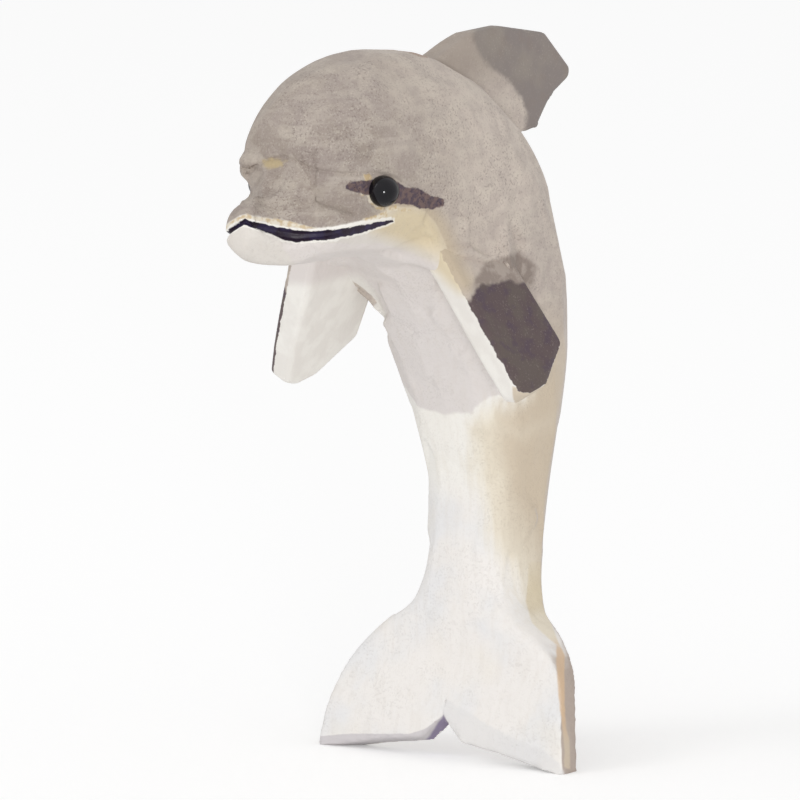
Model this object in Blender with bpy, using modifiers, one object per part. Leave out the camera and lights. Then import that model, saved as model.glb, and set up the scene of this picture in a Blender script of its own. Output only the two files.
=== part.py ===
"""Carved and painted wooden dolphin that stands on its tail flukes, built from its separate pieces.

One block of wood is carved from beak to flukes. Three fins are let into mortises in it, each held by
two bamboo pins, and the eyes are glass beads on steel wire that are set into drilled sockets.

Metres, +Z up. +X is the dolphin's left side and -Y is where its beak and belly face. The origin is on
the ground, under the middle of the carving's bounding box.
"""

from dataclasses import dataclass
import math

import bmesh
import bpy
import numpy as np
from mathutils import Euler, Matrix, Vector
from mathutils.bvhtree import BVHTree

MM = 0.001

# The block of wood that the body is carved from. The sections are drawn inside it, and stretch with it.
BLOCK_WIDTH = 51.2 * MM
BLOCK_DEPTH = 70.4 * MM
BLOCK_HEIGHT = 115.5 * MM

# Room for glue round whatever is let into the wood.
GLUE_GAP = 0.3 * MM

RINGS_ALONG_BODY = 76
POINTS_ROUND_BODY = 36
SMALL_ROUND_SIDES = 16
MERGE_DISTANCE = 0.01 * MM


@dataclass(frozen=True)
class Section:
    """One cut through the block as drawn, from a point on its back to a point on its belly.

    back and belly are (y, z). The widest line lies at the share of the way from the belly to the back
    that widest gives. A fullness of 2 is an ellipse and one of 8 is nearly a box. The crease draws the
    sides in by a share of their width, where the forehead meets the snout.
    """

    name: str
    back: tuple
    belly: tuple
    half_width: float
    widest: float
    back_fullness: float
    belly_fullness: float
    crease: float = 0.0


BODY_SECTIONS = (
    Section("fluke tips", (2.45, 0.0), (-1.65, 0.0), 25.6, 0.50, 20.0, 20.0),
    Section("lower flukes", (4.2, 7.0), (-0.2, 7.2), 24.3, 0.50, 18.0, 18.0),
    Section("middle of the flukes", (6.1, 11.2), (1.6, 11.4), 23.0, 0.50, 14.0, 14.0),
    Section("upper flukes", (8.4, 14.7), (3.0, 15.1), 21.1, 0.50, 12.0, 12.0),
    Section("fluke shoulders", (10.4, 17.3), (3.4, 17.7), 18.7, 0.50, 9.0, 9.0),
    Section("fluke roots", (12.7, 20.1), (3.4, 20.6), 15.4, 0.50, 6.0, 6.0),
    Section("start of the stock", (15.5, 23.1), (3.6, 23.8), 11.2, 0.50, 4.2, 4.2),
    Section("narrow stock", (17.9, 27.0), (4.2, 27.8), 9.6, 0.50, 3.0, 3.0),
    Section("middle of the stock", (19.8, 34.1), (4.9, 35.0), 9.1, 0.50, 3.0, 3.0),
    Section("upper stock", (21.8, 42.5), (5.4, 43.5), 9.2, 0.50, 3.0, 3.0),
    Section("lower trunk", (23.7, 52.3), (3.5, 53.5), 10.9, 0.50, 2.8, 2.8),
    Section("belly", (25.0, 63.8), (-0.5, 65.2), 13.4, 0.50, 2.5, 2.5),
    Section("chest", (25.1, 73.9), (-4.6, 73.2), 14.7, 0.50, 2.4, 2.4),
    Section("shoulders", (23.9, 85.2), (-9.1, 79.1), 14.7, 0.50, 2.3, 2.3),
    Section("throat", (19.9, 95.8), (-13.7, 81.9), 14.9, 0.52, 2.3, 2.3),
    Section("nape", (12.5, 105.4), (-18.4, 83.4), 14.7, 0.50, 2.2, 2.3),
    Section("crown", (1.7, 112.6), (-22.4, 84.1), 14.4, 0.45, 2.1, 2.3),
    Section("eyes", (-11.0, 115.5), (-26.4, 84.4), 13.8, 0.42, 2.1, 2.3),
    Section("brow", (-20.9, 115.0), (-30.7, 84.4), 12.5, 0.38, 2.2, 2.3, 0.05),
    Section("upper forehead", (-28.5, 112.2), (-33.6, 84.5), 10.8, 0.34, 2.3, 2.3, 0.16),
    Section("forehead", (-33.5, 107.4), (-36.2, 84.7), 8.8, 0.32, 2.3, 2.4, 0.24),
    Section("lower forehead", (-34.8, 101.5), (-38.1, 85.0), 6.5, 0.32, 1.8, 2.5, 0.20),
    Section("root of the beak", (-36.4, 97.7), (-39.8, 85.3), 4.9, 0.36, 1.7, 2.5),
    Section("beak", (-40.0, 96.0), (-42.1, 86.0), 3.9, 0.42, 2.0, 2.5),
    Section("front of the beak", (-42.9, 95.0), (-44.3, 87.0), 3.4, 0.45, 2.4, 2.5),
    Section("tip of the beak", (-45.0, 93.7), (-45.3, 89.3), 2.1, 0.50, 2.3, 2.3),
)

# The brow crease runs level round the head, as drawn, and fades above and below within its reach.
CREASE_HEIGHT = 96.6
CREASE_REACH = 3.0

# Points inside the body, as drawn, from which the fins and the eyes are set out to its surface. The
# right eye lies a little further back than the left one.
DORSAL_PLACE = (10.7, 100.8)
PECTORAL_PLACE = (1.6, 80.0)
EYE_PLACES = {"left": (-24.8, 95.5), "right": (-23.4, 95.0)}

# The hind edge of the flukes rises from two flat feet to a notch. It is cut square to the flukes,
# which lean back as they rise.
FLUKE_LEAN = math.radians(17.3)
NOTCH_DEPTH = 5.8 * MM
NOTCH_HALF_WIDTH = 4.2 * MM
NOTCH_LIP_HEIGHT = 2.0 * MM
HIND_EDGE_HALF_WIDTH = 12.0 * MM
HIND_EDGE_HEIGHT = 1.0 * MM
FOOT_WIDTH = 1.4 * MM

# Fin outlines run from the root, which is let into the body, to the tip. X goes from the front edge
# to the hind edge and Y goes away from the body.
DORSAL_THICKNESS = 4.8 * MM
DORSAL_TIP_THICKNESS = 3.2 * MM
DORSAL_LET_IN = 4.6 * MM
DORSAL_FRONT_REACH = 17.0 * MM
DORSAL_REAR_REACH = 13.1 * MM
DORSAL_UNDERCUT = 2.6 * MM
DORSAL_HEIGHT = 18.1 * MM
DORSAL_TIP_LENGTH = 8.1 * MM
DORSAL_TIP_OVERHANG = 1.5 * MM
DORSAL_TURN = math.radians(44.3)

PECTORAL_THICKNESS = 5.0 * MM
PECTORAL_TIP_THICKNESS = 4.2 * MM
PECTORAL_FRONT_LET_IN = 8.5 * MM
PECTORAL_REAR_LET_IN = 4.0 * MM
PECTORAL_FRONT_REACH = {"left": 11.8 * MM, "right": 12.9 * MM}
PECTORAL_REAR_REACH = 2.7 * MM
PECTORAL_LENGTH = 21.2 * MM
PECTORAL_TIP_SLANT = 7.4 * MM
PECTORAL_TIP_CORNER = 2.2 * MM
PECTORAL_INSET = 0.4 * MM
PECTORAL_ROOT_FLARE = {"left": 0.6 * MM, "right": 7.8 * MM}
PECTORAL_ROTATION = (math.radians(-120.5), math.radians(-5.5), math.radians(88.5))

FIN_EDGE_ROUNDING = 0.9 * MM
FIN_EDGE_STEPS = 2

# Bamboo pins cross the root of each fin, half in the fin and half in the body. Their insets are from
# the front and hind ends of the fin.
FIN_PIN_DIAMETER = 1.8 * MM
FIN_PIN_IN_BODY = 5.0 * MM
FIN_PIN_IN_FIN = 5.0 * MM
DORSAL_PIN_INSETS = (8.0 * MM, 7.6 * MM)
PECTORAL_PIN_INSETS = (3.4 * MM, 4.7 * MM)

# Each eye is a bead on a wire that is pushed into the head.
EYE_DIAMETER = 5.0 * MM
EYE_SUNK = 2.6 * MM
EYE_SEGMENTS = 24
EYE_RINGS = 14
EYE_WIRE_DIAMETER = 0.8 * MM
EYE_WIRE_IN_BEAD = 1.6 * MM
EYE_WIRE_IN_HEAD = 5.0 * MM

# How far a cutter reaches past the wood that it cuts, and how far off a ray towards the body starts.
OVERCUT = 4.0 * MM
RAY_START = 2 * BLOCK_HEIGHT


@dataclass(frozen=True)
class Finish:
    """What a piece looks like: its colour, how rough it is and whether it is metal."""

    name: str
    colour: tuple
    roughness: float
    metallic: float = 0.0


PAINTED_GREY = Finish("grey and white paint", (0.42, 0.38, 0.36), 0.62)
DARK_GREY = Finish("dark grey paint", (0.16, 0.14, 0.14), 0.60)
DARK_BROWN = Finish("dark brown paint", (0.12, 0.09, 0.09), 0.58)
BAMBOO = Finish("bamboo", (0.62, 0.45, 0.22), 0.55)
BLACK_GLASS = Finish("black glass", (0.004, 0.004, 0.005), 0.06)
STEEL_WIRE = Finish("steel wire", (0.45, 0.45, 0.46), 0.35, 1.0)


def remove_everything():
    """Clear the scene, so that the model is the same each time."""
    for thing in list(bpy.data.objects):
        bpy.data.objects.remove(thing, do_unlink=True)
    for group in list(bpy.data.collections):
        bpy.data.collections.remove(group)


def new_collection(name):
    """Make a collection under the scene."""
    group = bpy.data.collections.new(name)
    bpy.context.scene.collection.children.link(group)
    return group


def dress(piece, finish):
    """Give a piece its own Principled material with a finish."""
    material = bpy.data.materials.new(f"{piece.name} {finish.name}")
    material.use_nodes = True
    shader = material.node_tree.nodes["Principled BSDF"]
    shader.inputs["Base Color"].default_value = (*finish.colour, 1.0)
    shader.inputs["Roughness"].default_value = finish.roughness
    shader.inputs["Metallic"].default_value = finish.metallic
    piece.data.materials.append(material)


def new_object(name, mesh, group):
    """Put a mesh into a collection as a named object."""
    thing = bpy.data.objects.new(name, mesh)
    group.objects.link(thing)
    return thing


def mesh_from(name, shape):
    """Turn a bmesh with faces that point out into a mesh."""
    bmesh.ops.recalc_face_normals(shape, faces=shape.faces[:])
    mesh = bpy.data.meshes.new(name)
    shape.to_mesh(mesh)
    shape.free()
    return mesh


def shade_round(thing, crease_degrees=35.0):
    """Shade a piece smooth, with its hard corners kept sharp."""
    thing.data.shade_smooth()
    thing.data.set_sharp_from_angle(angle=math.radians(crease_degrees))


def cut(thing, cutter, cutters):
    """Take a cutter's shape out of a piece."""
    for group in list(cutter.users_collection):
        group.objects.unlink(cutter)
    cutters.objects.link(cutter)
    cutter.hide_render = True
    cutter.display_type = "WIRE"
    modifier = thing.modifiers.new(f"cut by {cutter.name}", "BOOLEAN")
    modifier.operation = "DIFFERENCE"
    modifier.solver = "EXACT"
    modifier.object = cutter


def smooth_slopes(places, values):
    """Slopes of a smooth curve through values, as Catmull and Rom set them."""
    steps = np.diff(places)
    rises = np.diff(values) / steps
    slopes = np.empty_like(values)
    slopes[0] = rises[0]
    slopes[-1] = rises[-1]
    slopes[1:-1] = (rises[:-1] * steps[1:] + rises[1:] * steps[:-1]) / (steps[:-1] + steps[1:])
    return slopes


def read_curve(places, values, wanted):
    """Read a smooth curve through values at the wanted places."""
    values = np.asarray(values, dtype=float)
    slopes = smooth_slopes(places, values)
    index = np.clip(np.searchsorted(places, wanted, side="right") - 1, 0, len(places) - 2)
    step = places[index + 1] - places[index]
    share = (wanted - places[index]) / step
    left = 1.0 - share
    from_start = left ** 2 * ((1.0 + 2.0 * share) * values[index] + share * step * slopes[index])
    from_end = share ** 2 * ((1.0 + 2.0 * left) * values[index + 1] - left * step * slopes[index + 1])
    return from_start + from_end


def block_units():
    """Metres to a drawn unit along each axis, as a vector."""
    width = 2 * max(section.half_width for section in BODY_SECTIONS)
    depth = max(section.back[0] for section in BODY_SECTIONS) - min(s.belly[0] for s in BODY_SECTIONS)
    height = max(section.back[1] for section in BODY_SECTIONS)
    return Vector((BLOCK_WIDTH / width, BLOCK_DEPTH / depth, BLOCK_HEIGHT / height))


def in_block(x, y, z):
    """Turn a drawn point into metres."""
    units = block_units()
    return Vector((x * units.x, y * units.y, z * units.z))


def section_places(sections):
    """Distances along the block at which the sections lie, from the mean of its back and belly."""
    backs = np.array([section.back for section in sections])
    bellies = np.array([section.belly for section in sections])
    back_steps = np.linalg.norm(np.diff(backs, axis=0), axis=1)
    belly_steps = np.linalg.norm(np.diff(bellies, axis=0), axis=1)
    return np.concatenate([[0.0], np.cumsum((back_steps + belly_steps) / 2)])


def section_ring(back, belly, half_width, widest, back_fullness, belly_fullness, crease):
    """Points round one section, as a superellipse with its own fullness above and below."""
    middle = belly + widest * (back - belly)
    ring = []
    for step in range(POINTS_ROUND_BODY):
        angle = 2 * math.pi * step / POINTS_ROUND_BODY
        rise = math.cos(angle)
        side = math.sin(angle)
        fullness = back_fullness if rise >= 0 else belly_fullness
        across = math.copysign(abs(side) ** (2 / fullness), side) * half_width
        share = abs(rise) ** (2 / fullness)
        end = back if rise >= 0 else belly
        y, z = middle + share * (end - middle)
        above_crease = (z - CREASE_HEIGHT) / CREASE_REACH
        across *= 1.0 - crease * math.exp(-above_crease ** 2)
        ring.append(in_block(across, y, z))
    return ring


def body_rings():
    """Read the sections as smooth curves and lay rings along the whole block."""
    places = section_places(BODY_SECTIONS)
    wanted = np.linspace(0.0, places[-1], RINGS_ALONG_BODY)
    rows = [
        (*section.back, *section.belly, section.half_width, section.widest,
         section.back_fullness, section.belly_fullness, section.crease)
        for section in BODY_SECTIONS
    ]
    curves = [read_curve(places, column, wanted) for column in zip(*rows)]
    rings = []
    for back_y, back_z, belly_y, belly_z, *shape in zip(*curves):
        rings.append(section_ring(np.array((back_y, back_z)), np.array((belly_y, belly_z)), *shape))
    return rings


def loft(rings):
    """Join rings of equal length into one closed shape with a flat cap at each end."""
    shape = bmesh.new()
    rows = [[shape.verts.new(point) for point in ring] for ring in rings]
    count = len(rows[0])
    for lower, upper in zip(rows, rows[1:]):
        for step in range(count):
            after = (step + 1) % count
            shape.faces.new((lower[step], lower[after], upper[after], upper[step]))
    shape.faces.new(rows[0])
    shape.faces.new(rows[-1])
    return shape


def flat_prism(name, outline, thickness, group):
    """Extrude a closed outline of (x, y) points to a thickness about its own plane, as a mesh."""
    curve = bpy.data.curves.new(name, "CURVE")
    curve.dimensions = "2D"
    curve.fill_mode = "BOTH"
    curve.extrude = thickness / 2
    spline = curve.splines.new("POLY")
    spline.points.add(len(outline) - 1)
    for point, (x, y) in zip(spline.points, outline):
        point.co = (x, y, 0.0, 1.0)
    spline.use_cyclic_u = True
    drawn = bpy.data.objects.new(name, curve)
    group.objects.link(drawn)
    graph = bpy.context.evaluated_depsgraph_get()
    mesh = bpy.data.meshes.new_from_object(drawn.evaluated_get(graph))
    bpy.data.objects.remove(drawn, do_unlink=True)
    shape = bmesh.new()
    shape.from_mesh(mesh)
    bmesh.ops.remove_doubles(shape, verts=shape.verts[:], dist=MERGE_DISTANCE)
    shape.to_mesh(mesh)
    shape.free()
    return new_object(name, mesh, group)


def round_bar(name, diameter, start, end, group):
    """Make a round bar between two points."""
    start = Vector(start)
    run = Vector(end) - start
    shape = bmesh.new()
    bmesh.ops.create_cone(
        shape, cap_ends=True, segments=SMALL_ROUND_SIDES,
        radius1=diameter / 2, radius2=diameter / 2, depth=run.length,
    )
    bar = new_object(name, mesh_from(name, shape), group)
    bar.location = start + run / 2
    bar.rotation_euler = run.to_track_quat("Z", "Y").to_euler()
    return bar


def ball(name, diameter, group):
    """Make a ball about its own origin."""
    shape = bmesh.new()
    bmesh.ops.create_uvsphere(shape, u_segments=EYE_SEGMENTS, v_segments=EYE_RINGS, radius=diameter / 2)
    return new_object(name, mesh_from(name, shape), group)


def grown_outline(outline, margin):
    """Move each side of an outline out by a margin, where the outline turns anticlockwise."""
    points = [Vector(point) for point in outline]
    grown = []
    for index, point in enumerate(points):
        before = (point - points[index - 1]).normalized()
        after = (points[(index + 1) % len(points)] - point).normalized()
        out_before = Vector((before.y, -before.x))
        out_after = Vector((after.y, -after.x))
        middle = (out_before + out_after).normalized()
        grown.append(point + middle * margin / middle.dot(out_after))
    return [tuple(point) for point in grown]


def dorsal_outline():
    """Side view of the dorsal fin: a long ramp in front, a blunt tip and an undercut hind edge."""
    front = -DORSAL_FRONT_REACH
    rear = DORSAL_REAR_REACH
    root_rear = rear - DORSAL_UNDERCUT
    height = DORSAL_HEIGHT
    return [
        (front, -DORSAL_LET_IN),
        (root_rear, -DORSAL_LET_IN),
        (root_rear, 0.12 * height),
        (rear, 0.27 * height),
        (rear - 0.1 * DORSAL_TIP_OVERHANG, 0.67 * height),
        (rear + DORSAL_TIP_OVERHANG, 0.91 * height),
        (rear + 0.5 * DORSAL_TIP_OVERHANG, 0.98 * height),
        (rear - DORSAL_TIP_LENGTH, height),
        (front + 0.73 * DORSAL_FRONT_REACH, 0.66 * height),
        (front + 0.42 * DORSAL_FRONT_REACH, 0.36 * height),
    ]


def pectoral_outline(side):
    """Outline of a pectoral fin: a long front edge that flares to the root, and a slanted tip."""
    front = -PECTORAL_FRONT_REACH[side]
    flare = PECTORAL_ROOT_FLARE[side]
    rear = PECTORAL_REAR_REACH
    length = PECTORAL_LENGTH
    return [
        (front - flare, -PECTORAL_FRONT_LET_IN),
        (rear - 0.6 * rear, -PECTORAL_REAR_LET_IN),
        (rear - 0.4 * rear, 0.22 * length),
        (rear, 0.72 * length),
        (rear - PECTORAL_TIP_SLANT, 0.97 * length),
        (front + PECTORAL_TIP_CORNER, length),
        (front + 0.1 * PECTORAL_TIP_CORNER, 0.96 * length),
        (front - 0.3 * flare, 0.60 * length),
    ]


@dataclass(frozen=True)
class Fin:
    """One fin: its outline, its thickness at root and tip, and the pins that hold it."""

    name: str
    outline: list
    thickness: float
    tip_thickness: float
    pin_places: tuple
    pin_names: tuple
    placing: Matrix
    finish: Finish

    def height(self):
        """Distance from the body's surface to the tip."""
        return max(y for _, y in self.outline)

    def board(self, name, group, margin=0.0):
        """Make the fin's board, thinner towards its tip, grown by a margin on every side."""
        outline = grown_outline(self.outline, margin)
        board = flat_prism(name, outline, self.thickness + 2 * margin, group)
        thinning = (self.thickness - self.tip_thickness) / (self.thickness * self.height())
        for vertex in board.data.vertices:
            vertex.co.z *= 1.0 - thinning * max(vertex.co.y, 0.0)
        board.matrix_world = self.placing
        return board

    def pin_ends(self, x, margin=0.0):
        """World positions of the ends of a pin that crosses the root edge at x."""
        (front, front_depth), (rear, rear_depth) = self.outline[:2]
        root = front_depth + (rear_depth - front_depth) * (x - front) / (rear - front)
        inner = Vector((x, root - FIN_PIN_IN_BODY - margin, 0.0))
        outer = Vector((x, root + FIN_PIN_IN_FIN + margin, 0.0))
        return self.placing @ inner, self.placing @ outer

    def build(self, parts, cutters, body):
        """Make the fin and its pins, and cut their mortise and holes in the body."""
        fin = self.board(self.name, parts)
        dress(fin, self.finish)
        rounding = fin.modifiers.new("knife-rounded edges", "BEVEL")
        rounding.width = FIN_EDGE_ROUNDING
        rounding.segments = FIN_EDGE_STEPS
        rounding.limit_method = "ANGLE"
        rounding.angle_limit = math.radians(50.0)
        mortise = self.board(f"{self.name}_mortise", cutters, GLUE_GAP)
        cut(body, mortise, cutters)
        for x, pin_name in zip(self.pin_places, self.pin_names):
            pin = round_bar(pin_name, FIN_PIN_DIAMETER, *self.pin_ends(x), parts)
            dress(pin, BAMBOO)
            shade_round(pin)
            hole_size = FIN_PIN_DIAMETER + 2 * GLUE_GAP
            hole = round_bar(f"{pin_name}_hole", hole_size, *self.pin_ends(x, GLUE_GAP), cutters)
            cut(fin, hole, cutters)
            cut(body, hole, cutters)
        shade_round(fin)


def build_body(parts, cutters):
    """Loft the block from flukes to beak and cut the hind edge of the flukes."""
    body = new_object("body", mesh_from("body", loft(body_rings())), parts)
    dress(body, PAINTED_GREY)
    tips = BODY_SECTIONS[0]
    foot_back = in_block(tips.half_width, *tips.back)
    foot_edge = foot_back.x - FOOT_WIDTH
    foot_depth = foot_back.y - in_block(0.0, *tips.belly).y
    one_side = [
        (foot_edge, -OVERCUT),
        (foot_edge, -foot_depth * math.tan(FLUKE_LEAN)),
        (HIND_EDGE_HALF_WIDTH, HIND_EDGE_HEIGHT),
        (NOTCH_HALF_WIDTH, NOTCH_LIP_HEIGHT),
    ]
    other_side = [(-x, z) for x, z in reversed(one_side)]
    outline = one_side + [(0.0, NOTCH_DEPTH)] + other_side
    hind_edge = flat_prism("hind_edge_cutter", outline, 2 * (foot_depth + OVERCUT), cutters)
    hind_edge.rotation_euler = (math.radians(90.0) - FLUKE_LEAN, 0.0, 0.0)
    hind_edge.location = (0.0, foot_back.y, 0.0)
    cut(body, hind_edge, cutters)
    return body


def surface_tree(body):
    """A search tree over the plain carved surface of the body, before anything is cut into it."""
    shape = bmesh.new()
    shape.from_mesh(body.data)
    tree = BVHTree.FromBMesh(shape)
    shape.free()
    return tree


def build_dorsal_fin(parts, cutters, body, tree):
    """Stand the dorsal fin on the back, square to the line of the nape."""
    away = Vector((0.0, math.sin(DORSAL_TURN), math.cos(DORSAL_TURN)))
    rearward = Vector((0.0, math.cos(DORSAL_TURN), -math.sin(DORSAL_TURN)))
    root, _, _, _ = tree.ray_cast(in_block(0.0, *DORSAL_PLACE) + away * RAY_START, -away)
    placing = Matrix((rearward, away, rearward.cross(away))).transposed().to_4x4()
    placing.translation = root
    fin = Fin(
        "dorsal_fin", dorsal_outline(), DORSAL_THICKNESS, DORSAL_TIP_THICKNESS,
        (-DORSAL_FRONT_REACH + DORSAL_PIN_INSETS[0], DORSAL_REAR_REACH - DORSAL_PIN_INSETS[1]),
        ("dorsal_pin_front", "dorsal_pin_rear"), placing, DARK_GREY,
    )
    fin.build(parts, cutters, body)


def build_pectoral_fin(side, parts, cutters, body, tree):
    """Hang a pectoral fin on one shoulder. The right one mirrors the left one's place and turn."""
    sideways = Vector((1.0, 0.0, 0.0))
    shoulder, _, _, _ = tree.ray_cast(in_block(0.0, *PECTORAL_PLACE) + sideways * RAY_START, -sideways)
    placing = Euler(PECTORAL_ROTATION).to_matrix().to_4x4()
    placing.translation = shoulder - sideways * PECTORAL_INSET
    if side == "right":
        placing = Matrix.Diagonal((-1, 1, 1, 1)) @ placing @ Matrix.Diagonal((1, 1, -1, 1))
    fin = Fin(
        f"pectoral_fin_{side}", pectoral_outline(side), PECTORAL_THICKNESS,
        PECTORAL_TIP_THICKNESS,
        (-PECTORAL_FRONT_REACH[side] + PECTORAL_PIN_INSETS[0], PECTORAL_REAR_REACH - PECTORAL_PIN_INSETS[1]),
        (f"pectoral_pin_{side}_front", f"pectoral_pin_{side}_rear"), placing, DARK_BROWN,
    )
    fin.build(parts, cutters, body)


def build_eye(side, parts, cutters, body, tree):
    """Set a bead into its socket on one side of the head, with its wire in a drilled hole."""
    sign = 1.0 if side == "left" else -1.0
    sideways = Vector((sign, 0.0, 0.0))
    inside = in_block(0.0, *EYE_PLACES[side])
    surface, normal, _, _ = tree.ray_cast(inside + sideways * RAY_START, -sideways)
    centre = surface + normal * (EYE_DIAMETER / 2 - EYE_SUNK)
    bead = ball(f"eye_{side}", EYE_DIAMETER, parts)
    dress(bead, BLACK_GLASS)
    bead.location = centre
    socket = ball(f"eye_socket_{side}", EYE_DIAMETER + 2 * GLUE_GAP, cutters)
    socket.location = centre
    cut(body, socket, cutters)
    bead_back = centre - normal * EYE_DIAMETER / 2
    wire_top = bead_back + normal * EYE_WIRE_IN_BEAD
    wire_end = bead_back - normal * EYE_WIRE_IN_HEAD
    wire = round_bar(f"eye_pin_{side}", EYE_WIRE_DIAMETER, wire_end, wire_top, parts)
    dress(wire, STEEL_WIRE)
    shade_round(wire)
    hole = round_bar(
        f"eye_pin_hole_{side}", EYE_WIRE_DIAMETER + 2 * GLUE_GAP,
        wire_end - normal * GLUE_GAP, wire_top + normal * GLUE_GAP, cutters,
    )
    cut(body, hole, cutters)
    cut(bead, hole, cutters)
    shade_round(bead)


def stand_on_origin(parts, cutters):
    """Parent everything to one empty and set it so that the carving stands over the origin."""
    root = bpy.data.objects.new("carving_frame", None)
    bpy.context.scene.collection.objects.link(root)
    for thing in (*parts.objects, *cutters.objects):
        thing.parent = root
    bpy.context.view_layer.update()
    graph = bpy.context.evaluated_depsgraph_get()
    corners = []
    for piece in parts.objects:
        shown = piece.evaluated_get(graph)
        corners.extend(shown.matrix_world @ vertex.co for vertex in shown.data.vertices)
    low = Vector(min(corner[axis] for corner in corners) for axis in range(3))
    high = Vector(max(corner[axis] for corner in corners) for axis in range(3))
    root.location = (-(low.x + high.x) / 2, -(low.y + high.y) / 2, -low.z)


def main():
    """Build the dolphin carving."""
    remove_everything()
    parts = new_collection("dolphin_carving")
    cutters = new_collection("cutters")
    body = build_body(parts, cutters)
    tree = surface_tree(body)
    build_dorsal_fin(parts, cutters, body, tree)
    for side in ("left", "right"):
        build_pectoral_fin(side, parts, cutters, body, tree)
        build_eye(side, parts, cutters, body, tree)
    shade_round(body)
    stand_on_origin(parts, cutters)


main()
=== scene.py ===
"""Dress the dolphin carving: knife-worked wood, brushed paint and bead eyes, in a plain studio.

Each class makes one sub-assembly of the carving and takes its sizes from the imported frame. A place that
is read off the photograph is in pixels of its 800 by 800 frame, and PhotoView lays it over the carving.
"""

import logging
import math
from collections.abc import Iterator
from contextlib import contextmanager
from dataclasses import dataclass, field
from enum import Enum

import bmesh
import bpy
import numpy as np
from mathutils import Matrix, Vector
from mathutils.bvhtree import BVHTree


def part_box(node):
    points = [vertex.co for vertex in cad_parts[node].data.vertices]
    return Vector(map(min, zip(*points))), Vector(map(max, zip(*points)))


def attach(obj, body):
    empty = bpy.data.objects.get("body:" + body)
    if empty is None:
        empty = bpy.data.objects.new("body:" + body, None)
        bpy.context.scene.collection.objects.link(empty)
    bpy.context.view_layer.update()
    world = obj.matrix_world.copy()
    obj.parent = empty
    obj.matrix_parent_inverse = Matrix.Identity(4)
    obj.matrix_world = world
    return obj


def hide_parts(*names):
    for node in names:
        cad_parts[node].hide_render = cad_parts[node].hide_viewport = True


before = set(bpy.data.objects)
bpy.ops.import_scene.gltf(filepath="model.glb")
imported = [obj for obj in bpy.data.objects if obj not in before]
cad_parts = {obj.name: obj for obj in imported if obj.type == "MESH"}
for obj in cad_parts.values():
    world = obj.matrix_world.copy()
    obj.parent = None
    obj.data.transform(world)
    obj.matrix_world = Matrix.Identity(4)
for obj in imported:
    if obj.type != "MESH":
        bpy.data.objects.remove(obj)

LOG = logging.getLogger("dolphin_carving")
MM = 0.001
WELD = 0.001 * MM
WHITE_LIGHT = (1.0, 1.0, 1.0, 1.0)
ROOT_BODY = "root"

Pixels = tuple[tuple[float, float], ...]
Colour = tuple[float, float, float]


def from_screen(red: int, green: int, blue: int) -> Colour:
    """Turn a colour as a screen shows it, 0 to 255, into linear light.

    Args:
        red, green, blue: The screen values.

    Returns:
        The same colour as Blender's shaders take it.
    """
    def linear(value: int) -> float:
        """Turn one part of the colour into linear light."""
        share = value / 255
        return share / 12.92 if share <= 0.04045 else ((share + 0.055) / 1.055) ** 2.4

    return linear(red), linear(green), linear(blue)


def put_in_scene(name: str, data: bpy.types.ID) -> bpy.types.Object:
    """Make an object of some data and link it to the scene.

    Args:
        name: The object's name.
        data: Its mesh, camera or light.

    Returns:
        The object.
    """
    thing = bpy.data.objects.new(name, data)
    bpy.context.scene.collection.objects.link(thing)
    return thing


@contextmanager
def open_mesh(mesh: bpy.types.Mesh) -> Iterator[bmesh.types.BMesh]:
    """Work on a mesh's vertices and faces, and write them back at the end.

    Args:
        mesh: The mesh.

    Yields:
        It, open for editing.
    """
    shape = bmesh.new()
    shape.from_mesh(mesh)
    yield shape
    shape.to_mesh(mesh)
    shape.free()


def tree_of(node: str, welded: bool) -> BVHTree:
    """Make a search tree of a node's faces.

    Args:
        node: The node's name.
        welded: Whether its faces are joined first and all made to face outwards.

    Returns:
        The tree.
    """
    shape = bmesh.new()
    shape.from_mesh(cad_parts[node].data)
    if welded:
        bmesh.ops.remove_doubles(shape, verts=shape.verts[:], dist=WELD)
        bmesh.ops.recalc_face_normals(shape, faces=shape.faces[:])
    tree = BVHTree.FromBMesh(shape)
    shape.free()
    return tree


class Side(Enum):
    """Which side of the dolphin a piece is on, and the sign of its X."""

    LEFT = 1
    RIGHT = -1

    @property
    def word(self) -> str:
        """The side's name as the nodes spell it."""
        return self.name.lower()


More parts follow.
